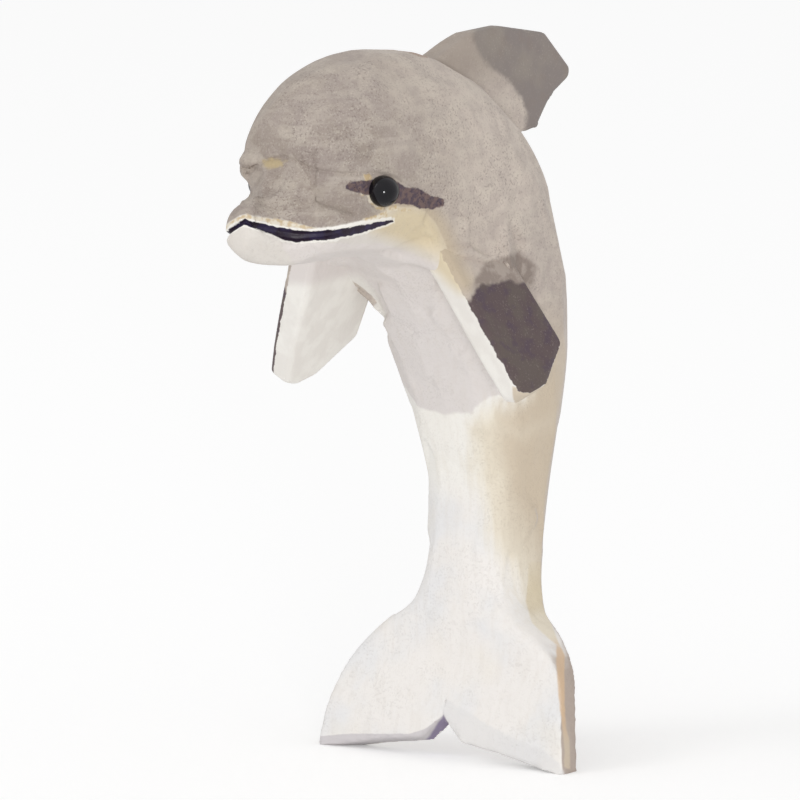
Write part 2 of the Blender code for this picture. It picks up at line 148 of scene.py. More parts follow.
@dataclass(frozen=True)
class PhotoView:
    """The camera's place round the carving, and how its picture lies over it."""

    azimuth: float = 40.29
    elevation: float = 9.02
    roll: float = 2.16
    distance: float = 1.5
    frame_width: float = 0.128
    sensor: float = 36.0
    picture_size: int = 800
    target: tuple[float, float, float] = (-0.00962, 0.00832, 0.05679)

    @property
    def pixel(self) -> float:
        """Size of a pixel at the target, in millimetres."""
        return self.frame_width / self.picture_size / MM

    def axes(self) -> Matrix:
        """Work out the camera's directions.

        Returns:
            Its right, up and backward directions, as the columns of a matrix.
        """
        azimuth, elevation = math.radians(self.azimuth), math.radians(self.elevation)
        right = Vector((math.cos(azimuth), math.sin(azimuth), 0.0))
        back = Vector((math.sin(azimuth) * math.cos(elevation), -math.cos(azimuth) * math.cos(elevation),
                       math.sin(elevation)))
        level = Matrix((right, back.cross(right), back)).transposed()
        return level @ Matrix.Rotation(-math.radians(self.roll), 3, "Z")

    def picture_places(self, points: np.ndarray) -> np.ndarray:
        """Lay points into the photograph.

        Args:
            points: World positions, one to a row.

        Returns:
            Their pixel positions, across and down, one to a row.
        """
        seen = (points - np.array(self.target)) @ np.array(self.axes())
        nearness = self.distance / (self.distance - seen[:, 2:3])
        scale = self.picture_size / self.frame_width
        return self.picture_size / 2 + seen[:, :2] * nearness * scale * np.array((1.0, -1.0))

    def place_camera(self) -> None:
        """Make the camera and make it the scene's."""
        lens = bpy.data.cameras.new("photo_camera")
        lens.sensor_width = self.sensor
        lens.lens = self.sensor * self.distance / self.frame_width
        camera = put_in_scene("photo_camera", lens)
        axes = self.axes()
        camera.matrix_world = axes.to_4x4()
        camera.location = Vector(self.target) + axes.col[2] * self.distance
        bpy.context.scene.camera = camera


PHOTO = PhotoView()


# Outlines read off the photograph, in pixels. They lie on the dolphin's left side, and its right side
# mirrors them.
GREY_BACK: Pixels = (
    (150, 214), (229, 213), (243, 212.4), (253, 215.4), (266, 217.8), (281, 219.4), (294, 222.4),
    (304, 225.6), (312, 227.6), (330, 227.2), (343, 224.8), (355, 222), (366, 220), (375, 216.6),
    (382, 212.4), (388, 208.8),
    (397, 206), (408, 207), (419, 207.5), (425, 211), (431, 217), (437, 225), (442, 235), (446.5, 246),
    (449, 256), (453, 265), (459, 275), (466, 286), (472, 295), (477, 306), (482, 318), (489, 330),
    (497, 346), (507, 363), (514, 385), (522, 404), (700, 404), (700, -60), (150, -60),
)
MOUTH: Pixels = (
    (243.2, 217.8), (253.3, 221.8), (266, 224.6), (278.8, 227.4), (294, 230), (310.7, 231.4),
    (329.8, 230.2), (348.9, 227.8), (364.2, 224.6), (379.5, 221.8), (393, 219.8), (393, 221.6),
    (379.5, 227), (366.8, 231.4), (350.2, 235.6), (329.8, 239.5), (310.7, 241), (296.6, 242.3),
    (283.9, 240.2), (272.4, 234.4), (259.6, 229.6), (248.2, 226.2), (243.2, 224.6), (238, 224.6),
    (238, 217.8),
)
EYE_STRIPE: Pixels = (
    (344.5, 187.6), (350, 181.8), (361.7, 180.8), (372, 180), (390, 178), (400, 184.2), (407.7, 188.2),
    (417.9, 188.4), (425.5, 193.4), (434.4, 197.2), (444.8, 198), (443.6, 205.4), (432, 209.2),
    (419, 207.8), (407.7, 204.4), (398, 204), (384, 201), (370, 195.4), (364, 194.4), (355.3, 192.2),
)
# Painted highlight: the bright line along the upper edge of the mouth groove.
UPPER_LIP_HIGHLIGHT: Pixels = (
    (240, 215.4), (248, 218.6), (258.4, 221), (270, 223.8), (286.4, 226.6), (300, 229), (310.7, 229.4),
    (329.8, 227.2), (345, 224.6), (355.3, 222.2), (366.8, 219.2), (379.5, 217.6), (391, 217), (393, 222),
    (350, 236), (310, 240), (270, 232), (240, 226),
)
LIP_WOOD: Pixels = (
    (238, 212.6), (247, 214.2), (256, 216.8), (268, 218.4), (281, 219.6), (294, 222.6), (305, 225.6),
    (318, 228.4), (303, 229), (291, 227.4), (279, 225), (268.6, 222.4), (258, 220.6), (248, 218.6),
    (240, 216.4),
)
CORNER_WOOD: Pixels = (
    (362, 219.4), (370, 217), (377, 215), (383, 212.4), (388, 210.6), (387, 216.4), (379, 219), (371, 220),
)
BROW_CHIP: Pixels = (
    (262, 160.4), (269, 159.2), (277, 159.4), (286, 161.4), (281, 166.4), (272, 169), (263.4, 167.4),
)
EYE_RIM: Pixels = (
    (364, 174.4), (369, 174), (372, 178), (366, 192), (368, 201), (375, 208), (384, 211.4), (396, 210),
    (404, 208), (411, 210.4), (402, 212), (396, 205), (384, 208), (374, 203), (369.4, 194.5), (363.5, 196),
    (360, 194.4), (367, 192),
)
CROWN_WOOD: Pixels = (
    (397, 45), (406, 46), (414, 48), (421, 51), (430, 54), (427, 58), (417, 56), (408, 52.4), (398, 50.4),
)
CREAM_CHEEK: Pixels = (
    (374, 229), (384, 222), (391, 214), (398, 209), (412, 208), (424, 211), (431, 217), (437, 225),
    (442, 235), (447, 247), (450, 258), (456, 270), (464, 282), (455, 274), (446, 265), (436, 257),
    (424, 250), (410, 243.6), (396, 237.6), (384, 233),
)
CHEST: Pixels = (
    (280, 243), (350, 243.5), (380, 243.6), (396, 248), (410, 252), (424, 258), (438, 264), (449, 271),
    (470, 300), (500, 352), (513, 392), (489, 397), (475, 408), (472.8, 413), (451.7, 413), (436.3, 417),
    (425, 420), (404, 426), (340, 330),
)
FLANK: Pixels = (
    (449, 268), (470, 300), (500, 352), (513, 392), (489, 397), (475, 409), (462, 424), (463, 460),
    (470, 495), (479, 535), (491, 566), (506, 592), (522, 622), (540, 640), (620, 660), (620, 230),
    (460, 230),
)
EDGE_WOOD: Pixels = (
    (529, 562), (528, 575), (526, 602), (532, 623), (543.7, 633.7), (556.3, 644.6), (556.6, 665),
    (558.6, 697), (562.4, 728), (564.4, 752), (564, 768), (570, 769), (569.6, 741), (566, 727),
    (564.8, 707), (564.6, 678), (564.6, 655), (558.4, 643), (551, 622), (544, 604), (560, 590), (560, 562),
)
DORSAL_DARK: Pixels = (
    (479, 18), (475, 30), (473, 38), (476, 48), (484, 61), (491, 68), (504, 76), (514, 88), (523, 101),
    (527, 113), (525, 127), (520, 140), (640, 140), (640, 0), (479, 0),
)
PECTORAL_DARK: Pixels = (
    (470, 300), (476, 290), (482, 283), (494, 284), (508, 280), (520, 284), (532, 280), (640, 270),
    (640, 460), (440, 460), (440, 300),
)
PECTORAL_MOTTLE: Pixels = (
    (474, 300), (473, 284), (478, 274), (486, 264), (496, 262), (505, 256), (518, 252), (530, 258),
    (538, 268), (533, 280), (530, 292), (540, 310), (470, 310),
)
PECTORAL_TIP: Pixels = (
    (512, 386), (513, 397), (518, 412), (575, 412), (575, 330), (562, 340), (552, 366), (543, 387),
    (528, 390),
)

# Outlines that hold for one fluke alone.
# These mark painted shade on faces turned downwards: the far fluke's under edge, the notch wall and the near
# fluke's bevel.
FAR_HIND_EDGE: Pixels = (
    (300, 737), (318, 736.4), (345.7, 733.8), (385, 733.8), (410, 733.8), (424.3, 729.3), (438.6, 718.6),
    (444, 714.4), (447, 722), (456.5, 733), (456, 760), (300, 760),
)
NOTCH_WALL: Pixels = (
    (424, 742), (430, 735), (438.6, 722), (443.6, 715.6), (447, 721), (456, 732.6), (445, 738), (430, 742),
)
NEAR_BEVEL: Pixels = (
    (446, 699), (467, 711.4), (488.6, 725.7), (511.8, 738.2), (540.4, 748.9), (560, 764), (573, 790),
    (450, 790), (440, 724), (442.6, 710),
)


# Depth inside an outline, in millimetres, that stands for well outside it, and a place in pixels that is
# off every outline.
OUTSIDE = -9.0
OFF_PICTURE = -1.0e4

# The tip of the mouth lies left of the middle of the beak, at this X in millimetres. From there to the
# beak's right corner the mouth droops by so many pixels, over so many millimetres. It does so from the
# front of the beak, between these distances in front of the middle, and fades out far to the right.
BEAK_CENTRE = 1.4
BEAK_DROOP = 10.0
BEAK_DROOP_RUN = 3.8
BEAK_FRONT = (32.0, 36.0)
BEAK_DROOP_FADE = (16.0, 5.0)

# A shallow dip on each side where the beak leaves the forehead: its place on the right side, in pixels,
# its reach in pixels and its depth.
BEAK_DIP_PLACE = (246.0, 192.5)
BEAK_DIP_REACH = 7.5
BEAK_DIP_DEPTH = 0.55 * MM

# The right side of the forehead stands out further before it ends above the beak.
BROW_SWELL_PLACE = (246.5, 167.0)
BROW_SWELL_REACH = 12.5
BROW_SWELL_HEIGHT = 1.05 * MM
BROW_SWELL_MIDDLE = (-7.0 * MM, -29.5 * MM, 99.3 * MM)
BROW_SWELL_SPAN = 4.5 * MM

# The jaw runs into the throat without a corner, just in front of the pectoral fin's root.
JOWL_PLACE = (425.0, 262.0)
JOWL_REACH = 13.0

# The ramp of the dorsal fin starts low, behind a dip in the crown.
RAMP_FOOT_PLACE = (431.0, 47.0)
RAMP_FOOT_REACH = 21.0
RAMP_FOOT_DIP = 1.0 * MM


class CutLine(Enum):
    """Lines cut into the wood: their course in the photograph, half width and depth in millimetres."""

    BROW = (((248, 174), (253, 168.6), (259, 163), (266, 159.4), (274, 158.4), (284, 157.6), (294, 161),
             (305, 166.6), (323, 172), (343, 174.6), (360, 173.8)), 0.75, 0.4)
    OVER_EYE = (((356, 174), (368, 173.4), (380, 173.6), (392, 176.4), (401, 182)), 0.6, 0.3)
    NOTCH = (((444.8, 700), (441.6, 708), (441.6, 722)), 0.35, 0.55)

    @property
    def course(self) -> np.ndarray:
        """The line's points, in pixels."""
        return np.array(self.value[0], dtype=float)

    def cut_at(self, places: np.ndarray) -> np.ndarray:
        """Work out how deep the line cuts.

        Args:
            places: Pixel positions, one to a row.

        Returns:
            The depth at each place, in millimetres.
        """
        _, half_width, depth = self.value
        gap = distance_to_course(places, self.course) * PHOTO.pixel
        return depth * np.exp(-(2.0 * gap / half_width) ** 2)


def distance_to_course(places: np.ndarray, course: np.ndarray, closed: bool = False) -> np.ndarray:
    """Distance of places from a run of straight lines.

    Args:
        places: Pixel positions, one to a row.
        course: The corners of the run, one to a row.
        closed: Whether the last corner joins the first.

    Returns:
        The distance of each place, in pixels.
    """
    starts = course if closed else course[:-1]
    ends = np.roll(course, -1, axis=0) if closed else course[1:]
    nearest = np.full(len(places), np.inf)
    for start, end in zip(starts, ends):
        run = end - start
        share = np.clip((places - start) @ run / (run @ run), 0.0, 1.0)
        gap = np.linalg.norm(places - start - share[:, None] * run, axis=1)
        nearest = np.minimum(nearest, gap)
    return nearest


def depth_in_outline(places: np.ndarray, outline: Pixels) -> np.ndarray:
    """How far inside a closed outline places lie, in millimetres, with a minus sign outside it.

    Args:
        places: Pixel positions, one to a row.
        outline: The outline's corners, in pixels.

    Returns:
        The signed distance of each place.
    """
    corners = np.array(outline, dtype=float)
    gap = distance_to_course(places, corners, closed=True)
    inside = np.zeros(len(places), dtype=bool)
    for start, end in zip(corners, np.roll(corners, -1, axis=0)):
        crosses = (start[1] > places[:, 1]) != (end[1] > places[:, 1])
        rise = end[1] - start[1]
        if rise != 0:
            at = start[0] + (places[:, 1] - start[1]) * (end[0] - start[0]) / rise
            inside ^= crosses & (places[:, 0] < at)
    return np.where(inside, gap, -gap) * PHOTO.pixel


def step_between(values: np.ndarray, low: float, high: float) -> np.ndarray:
    """Rise smoothly from 0 at low to 1 at high."""
    share = np.clip((values - low) / (high - low), 0.0, 1.0)
    return share * share * (3.0 - 2.0 * share)


class Skin:
    """A plain mesh that is worked on as arrays, and its object."""

    def __init__(self, thing: bpy.types.Object) -> None:
        """Take up an object."""
        self.thing = thing

    @property
    def mesh(self) -> bpy.types.Mesh:
        """The object's mesh."""
        return self.thing.data

    @classmethod
    def of_node(cls, node: str, name: str) -> "Skin":
        """Copy a node of the frame as one closed mesh.

        Args:
            node: The node's name.
            name: The copy's name.

        Returns:
            The copy.
        """
        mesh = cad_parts[node].data.copy()
        mesh.name = name
        mesh.materials.clear()
        with open_mesh(mesh) as shape:
            bmesh.ops.remove_doubles(shape, verts=shape.verts[:], dist=WELD)
        return cls(put_in_scene(name, mesh))

    @staticmethod
    def rows(parts: object, key: str) -> np.ndarray:
        """Read a value of three numbers from each part of a mesh.

        Args:
            parts: The vertices or their normals.
            key: The value's name.

        Returns:
            The values, one to a row.
        """
        flat = np.empty(3 * len(parts))
        parts.foreach_get(key, flat)
        return flat.reshape(-1, 3)

    def points(self) -> np.ndarray:
        """The vertices' places, one to a row."""
        return self.rows(self.mesh.vertices, "co")

    def normals(self) -> np.ndarray:
        """The vertices' normals, one to a row."""
        return self.rows(self.mesh.vertex_normals, "vector")

    def move_to(self, points: np.ndarray) -> None:
        """Put the vertices at new places."""
        self.mesh.vertices.foreach_set("co", points.reshape(-1))
        self.mesh.update()

    def mirrored_places(self) -> np.ndarray:
        """Lay the vertices into the photograph, with the right side folded over the left.

        The beak's right corner droops, so its paint edges come down with it.

        Returns:
            Their pixel positions, one to a row.
        """
        folded = self.points()
        beak = step_between(-folded[:, 1] / MM, *BEAK_FRONT)
        centre = BEAK_CENTRE * beak
        rightward = centre - folded[:, 0] / MM
        folded[:, 0] = (centre + np.abs(rightward)) * MM
        places = PHOTO.picture_places(folded)
        droop = np.clip(rightward / BEAK_DROOP_RUN, 0.0, 1.0) * step_between(rightward, *BEAK_DROOP_FADE)
        places[:, 1] -= BEAK_DROOP * droop * beak
        return places

    def seen_places(self, least_facing: float = 0.05) -> np.ndarray:
        """Lay the vertices that face the photograph into it, and all the others far off it.

        Args:
            least_facing: How squarely a vertex has to face the camera, from 0 to 1.

        Returns:
            Their pixel positions, one to a row.
        """
        facing = self.normals() @ np.array(PHOTO.axes().col[2])
        return np.where(facing[:, None] > least_facing, PHOTO.picture_places(self.points()), OFF_PICTURE)

    def keep(self, name: str, values: np.ndarray) -> None:
        """Store a value at each vertex for the materials to read."""
        layer = self.mesh.attributes.new(name, "FLOAT", "POINT")
        layer.data.foreach_set("value", values.astype(np.float32))

    def keep_depths(self, places: np.ndarray, outlines: dict[str, Pixels]) -> None:
        """Store how far inside each outline each vertex lies."""
        for name, outline in outlines.items():
            self.keep(name, depth_in_outline(places, outline))

    def apply_modifiers(self) -> None:
        """Bake the object's modifiers into its mesh."""
        graph = bpy.context.evaluated_depsgraph_get()
        baked = bpy.data.meshes.new_from_object(self.thing.evaluated_get(graph))
        self.thing.modifiers.clear()
        worn_out = self.thing.data
        baked.name = self.thing.name
        self.thing.data = baked
        bpy.data.meshes.remove(worn_out)

    def remesh(self, grain: float) -> None:
        """Make the mesh anew from even squares.

        Args:
            grain: The squares' size, in metres.
        """
        modifier = self.thing.modifiers.new("even squares", "REMESH")
        modifier.mode = "VOXEL"
        modifier.voxel_size = grain
        modifier.use_smooth_shade = True
        self.apply_modifiers()

    def neighbour_means(self, points: np.ndarray) -> np.ndarray:
        """Find the middle of each vertex's neighbours.

        Args:
            points: The vertices' places, one to a row.

        Returns:
            The mean place of each one's neighbours.
        """
        ends = np.empty(2 * len(self.mesh.edges), dtype=np.int64)
        self.mesh.edges.foreach_get("vertices", ends)
        first, second = ends.reshape(-1, 2).T
        size = len(points)
        counts = np.bincount(first, minlength=size) + np.bincount(second, minlength=size)
        sums = np.empty_like(points)
        for axis, along in enumerate(points.T):
            sums[:, axis] = np.bincount(first, along[second], size) + np.bincount(second, along[first], size)
        return sums / np.maximum(counts, 1)[:, None]

    def relax(self, rounds: int, hold: np.ndarray | float = 1.0) -> None:
        """Smooth the surface.

        Args:
            rounds: How often each vertex moves halfway to the mean of its neighbours.
            hold: The share of each move that is made, one value or one to a vertex.
        """
        points = self.points()
        share = np.broadcast_to(np.asarray(hold, dtype=float), len(points))[:, None] * 0.5
        for _ in range(rounds):
            points = points + share * (self.neighbour_means(points) - points)
        self.move_to(points)

    def ridges(self, rounds: int = 3) -> np.ndarray:
        """Measure how far each vertex stands out of its neighbourhood.

        Args:
            rounds: How many rings of neighbours are taken in.

        Returns:
            The heights, in millimetres.
        """
        points = self.points()
        means = points
        for _ in range(rounds):
            means = self.neighbour_means(means)
        return np.einsum("ij,ij->i", points - means, self.normals()) / MM

    def refine(self, close: np.ndarray) -> None:
        """Split the faces whose vertices are all close to fine work.

        Args:
            close: Whether each vertex is near it.
        """
        with open_mesh(self.mesh) as shape:
            shape.verts.ensure_lookup_table()
            edges = [e for e in shape.edges if close[e.verts[0].index] and close[e.verts[1].index]]
            bmesh.ops.subdivide_edges(shape, edges=edges, cuts=1, use_grid_fill=True)

    def shade(self) -> None:
        """Shade the whole mesh smooth."""
        self.mesh.shade_smooth()
        self.mesh.update()


class Graph:
    """Writes nodes into a node tree, each in one call."""

    def __init__(self, tree: bpy.types.NodeTree) -> None:
        """Take up a node tree."""
        self.tree = tree

    def feed(self, node: bpy.types.Node, feeds: dict) -> bpy.types.Node:
        """Set a node's inputs.

        Args:
            node: The node.
            feeds: Values or other nodes' outputs for its inputs, by name or number.

        Returns:
            The node.
        """
        for key, value in feeds.items():
            if isinstance(value, bpy.types.NodeSocket):
                self.tree.links.new(value, node.inputs[key])
            else:
                node.inputs[key].default_value = value
        return node

    def node(self, kind: str, feeds: dict | None = None, **settings: object) -> bpy.types.Node:
        """Add a node.

        Args:
            kind: Blender's name of the node's type.
            feeds: Values or other nodes' outputs for its inputs, by name or number.
            settings: The node's own properties.

        Returns:
            The node.
        """
        made = self.tree.nodes.new(kind)
        for name, value in settings.items():
            setattr(made, name, value)
        return self.feed(made, feeds or {})

    def group(self, tree: bpy.types.NodeTree, feeds: dict) -> bpy.types.Node:
        """Place a node group with its own values."""
        return self.node("ShaderNodeGroup", feeds, node_tree=tree)

    def math(self, operation: str, *values: object) -> bpy.types.NodeSocket:
        """Work out a number from others."""
        return self.node("ShaderNodeMath", dict(enumerate(values)), operation=operation).outputs[0]

    def times(self, first: object, second: object) -> bpy.types.NodeSocket:
        """Multiply two numbers."""
        return self.math("MULTIPLY", first, second)

    def plus(self, value: object, weight: float, base: object) -> bpy.types.NodeSocket:
        """Add a weighted number to another."""
        return self.math("MULTIPLY_ADD", value, weight, base)

    def along(self, operation: str, *values: object) -> bpy.types.Node:
        """Work out a direction or a number from directions."""
        return self.node("ShaderNodeVectorMath", dict(enumerate(values)), operation=operation)

    def scaled(self, direction: object, amount: object) -> bpy.types.NodeSocket:
        """Lengthen a direction."""
        feeds = {0: direction, "Scale": amount}
        return self.node("ShaderNodeVectorMath", feeds, operation="SCALE").outputs[0]

    def mix(self, share: object, first: object, second: object) -> bpy.types.NodeSocket:
        """Mix two colours by a share."""
        tones = [(*tone, 1.0) if isinstance(tone, tuple) else tone for tone in (first, second)]
        return self.node("ShaderNodeMix", {0: share, 6: tones[0], 7: tones[1]}, data_type="RGBA").outputs[2]

    def ramp(self, value: object, low: float, high: float, start: float = 0.0, end: float = 1.0) -> object:
        """Rise smoothly from start to end while a value goes from low to high."""
        feeds = {0: value, 1: low, 2: high, 3: start, 4: end}
        return self.node("ShaderNodeMapRange", feeds, interpolation_type="SMOOTHSTEP").outputs[0]

    def fade(self, value: object, low: float, high: float, first: object, second: object,
             most: float = 1.0) -> bpy.types.NodeSocket:
        """Go from one colour towards another, up to the share most, while a value goes from low to high."""
        return self.mix(self.ramp(value, low, high, 0.0, most), first, second)

    def kept(self, name: str) -> bpy.types.NodeSocket:
        """Read a value that the mesh keeps at its vertices."""
        return self.node("ShaderNodeAttribute", attribute_name=name).outputs["Fac"]

    def object_place(self) -> bpy.types.NodeSocket:
        """Place in the piece's own space."""
        return self.node("ShaderNodeTexCoord").outputs["Object"]

    def coordinate(self, axis: str) -> bpy.types.NodeSocket:
        """One coordinate of the place in the piece's own space."""
        return self.node("ShaderNodeSeparateXYZ", {0: self.object_place()}).outputs[axis]

    def noise(self, scale: object, detail: float = 3.0, place: object = None, **feeds: float) -> object:
        """Read a cloud pattern in the piece's own space.

        Args:
            scale: How fine it is.
            detail: How many finer patterns lie over it.
            place: Where it is read, or nothing for the piece's own place.
            feeds: The noise's other inputs.

        Returns:
            The pattern, from 0 to 1.
        """
        values = {"Vector": place or self.object_place(), "Scale": scale, "Detail": detail}
        values.update({key.capitalize(): value for key, value in feeds.items()})
        return self.node("ShaderNodeTexNoise", values).outputs[0]


def new_group(name: str, inputs: dict[str, float],
              outputs: tuple[str, ...]) -> tuple[Graph, dict, bpy.types.Node]:
    """Start a shader node group of number sockets.

    Args:
        name: The group's name.
        inputs: Its inputs with their first values.
        outputs: Its outputs.

    Returns:
        A writer for the group, its input sockets by name and the node that its outputs are fed to.
    """
    tree = bpy.data.node_groups.new(name, "ShaderNodeTree")
    for socket, value in inputs.items():
        made = tree.interface.new_socket(name=socket, in_out="INPUT", socket_type="NodeSocketFloat")
        made.default_value = value
    for socket in outputs:
        tree.interface.new_socket(name=socket, in_out="OUTPUT", socket_type="NodeSocketFloat")
    return Graph(tree), tree.nodes.new("NodeGroupInput").outputs, tree.nodes.new("NodeGroupOutput")


class PaintEffects:
    """The shader node groups that the painted pieces share."""

    def __init__(self) -> None:
        """Build the groups."""
        self.ragged = self.build_ragged_edge()
        self.specks = self.build_specks()
        self.strokes = self.build_strokes()

    @staticmethod
    def build_ragged_edge() -> bpy.types.NodeTree:
        """Turn a distance from a paint edge into a mask whose edge a dry brush has left ragged.

        Returns:
            The group.
        """
        inputs = {"Distance": 0.0, "Raggedness": 0.2, "Grain": 900.0, "Softness": 0.1}
        graph, given, out = new_group("ragged_edge", inputs, ("Mask",))
        cloud = graph.noise(given["Grain"], 4.0)
        shift = graph.times(graph.math("SUBTRACT", cloud, 0.5), given["Raggedness"])
        moved = graph.plus(shift, 4.0, given["Distance"])
        low = graph.times(given["Softness"], -1.0)
        graph.feed(out, {"Mask": graph.ramp(moved, low, given["Softness"])})
        return graph.tree

    @staticmethod
    def build_specks() -> bpy.types.NodeTree:
        """Write fine dark pits and pale flecks in thin paint.

        Returns:
            The group.
        """
        graph, given, out = new_group("paint_specks", {"Grain": 2200.0, "Coverage": 0.3}, ("Dark", "Pale"))
        patches = graph.ramp(graph.noise(160.0, 2.0), 0.42, 0.62, 0.5, 1.0)
        edge = graph.math("SUBTRACT", 0.66, graph.times(given["Coverage"], 0.2))
        for name, shift in (("Dark", 0.0), ("Pale", 7.3)):
            place = graph.along("ADD", graph.object_place(), (shift, shift, shift)).outputs[0]
            cloud = graph.noise(given["Grain"], 2.0, place)
            spots = graph.ramp(cloud, edge, graph.math("ADD", edge, 0.06))
            graph.feed(out, {name: graph.times(spots, patches)})
        return graph.tree

    @staticmethod
    def build_strokes() -> bpy.types.NodeTree:
        """Write the streaks that a brush leaves, upright or level, from -1 to 1.

        Returns:
            The group.
        """
        inputs = {"Across": 900.0, "Along": 120.0, "Level": 0.0}
        graph, given, out = new_group("brush_strokes", inputs, ("Streak",))
        place = graph.object_place()
        streaks = []
        for flat, tall in (("Across", "Along"), ("Along", "Across")):
            shape = graph.node("ShaderNodeCombineXYZ", {0: given[flat], 1: given[flat], 2: given[tall]})
            stretched = graph.along("MULTIPLY", place, shape.outputs[0]).outputs[0]
            streaks.append(graph.noise(1.0, 3.0, stretched))
        mixed = graph.node("ShaderNodeMix", {0: given["Level"], 2: streaks[0], 3: streaks[1]}).outputs[0]
        graph.feed(out, {"Streak": graph.plus(mixed, 2.0, -1.0)})
        return graph.tree


def new_material(name: str) -> tuple[bpy.types.Material, Graph, bpy.types.Node]:
    """Start a Principled material.

    Args:
        name: The material's name.

    Returns:
        The material, a writer for its nodes and its shader.
    """
    material = bpy.data.materials.new(name)
    material.use_nodes = True
    graph = Graph(material.node_tree)
    return material, graph, material.node_tree.nodes["Principled BSDF"]


@dataclass(frozen=True)
class Paints:
    """The carving's paints and bare surfaces, as the photograph shows them, with some painted light and shade
    among them.
    """

    white: Colour = from_screen(236, 232, 228)
    cool_white: Colour = from_screen(230, 229, 229)
    warm_white: Colour = from_screen(235, 228, 215)
    bright_white: Colour = from_screen(242, 239, 232)
    # The chest and throat tones are partly paint and partly painted shade under the jaw.
    chest: Colour = from_screen(221, 215, 212)
    throat: Colour = from_screen(221, 214, 210)
    jaw: Colour = from_screen(220, 214, 207)
    cream: Colour = from_screen(227, 217, 197)
    cheek_cream: Colour = from_screen(214, 197, 162)
    tan: Colour = from_screen(204, 189, 168)
    grey: Colour = from_screen(155, 143, 133)
    rear_grey: Colour = from_screen(201, 189, 178)
    pale_grey: Colour = from_screen(203, 193, 180)
    lavender_grey: Colour = from_screen(161, 149, 144)
    tan_grey: Colour = from_screen(196, 179, 152)
    trunk_grey: Colour = from_screen(203, 195, 190)
    side_grey: Colour = from_screen(177, 163, 153)
    # Painted shade: the greys of the near fluke's bevel, the far fluke's under edge and the notch wall stand
    # for faces turned down from the light.
    bevel: Colour = from_screen(224, 222, 221)
    under_edge_shade: Colour = from_screen(203, 198, 200)
    notch: Colour = from_screen(134, 122, 152)
    dark_speck: Colour = from_screen(116, 102, 98)
    pale_speck: Colour = from_screen(214, 205, 192)
    wood: Colour = from_screen(198, 172, 126)
    chip: Colour = from_screen(188, 169, 128)
    orange_wood: Colour = from_screen(210, 181, 149)
    yellow_wood: Colour = from_screen(212, 198, 170)
    brown_wood: Colour = from_screen(150, 118, 98)
    mouth: Colour = from_screen(38, 26, 42)
    mouth_blue: Colour = from_screen(46, 38, 66)
    stripe: Colour = from_screen(74, 60, 72)
    stripe_brown: Colour = from_screen(104, 84, 82)
    fin_dark: Colour = from_screen(90, 76, 77)
    fin_brown: Colour = from_screen(94, 83, 79)
    fin_purple: Colour = from_screen(80, 66, 80)
    fin_root: Colour = from_screen(136, 123, 115)
    fin_root_pale: Colour = from_screen(164, 152, 143)
    fin_white: Colour = from_screen(239, 236, 230)
    far_white: Colour = from_screen(232, 228, 222)
    dorsal: Colour = from_screen(143, 134, 126)
    dorsal_dark: Colour = from_screen(133, 124, 120)


PAINTS = Paints()


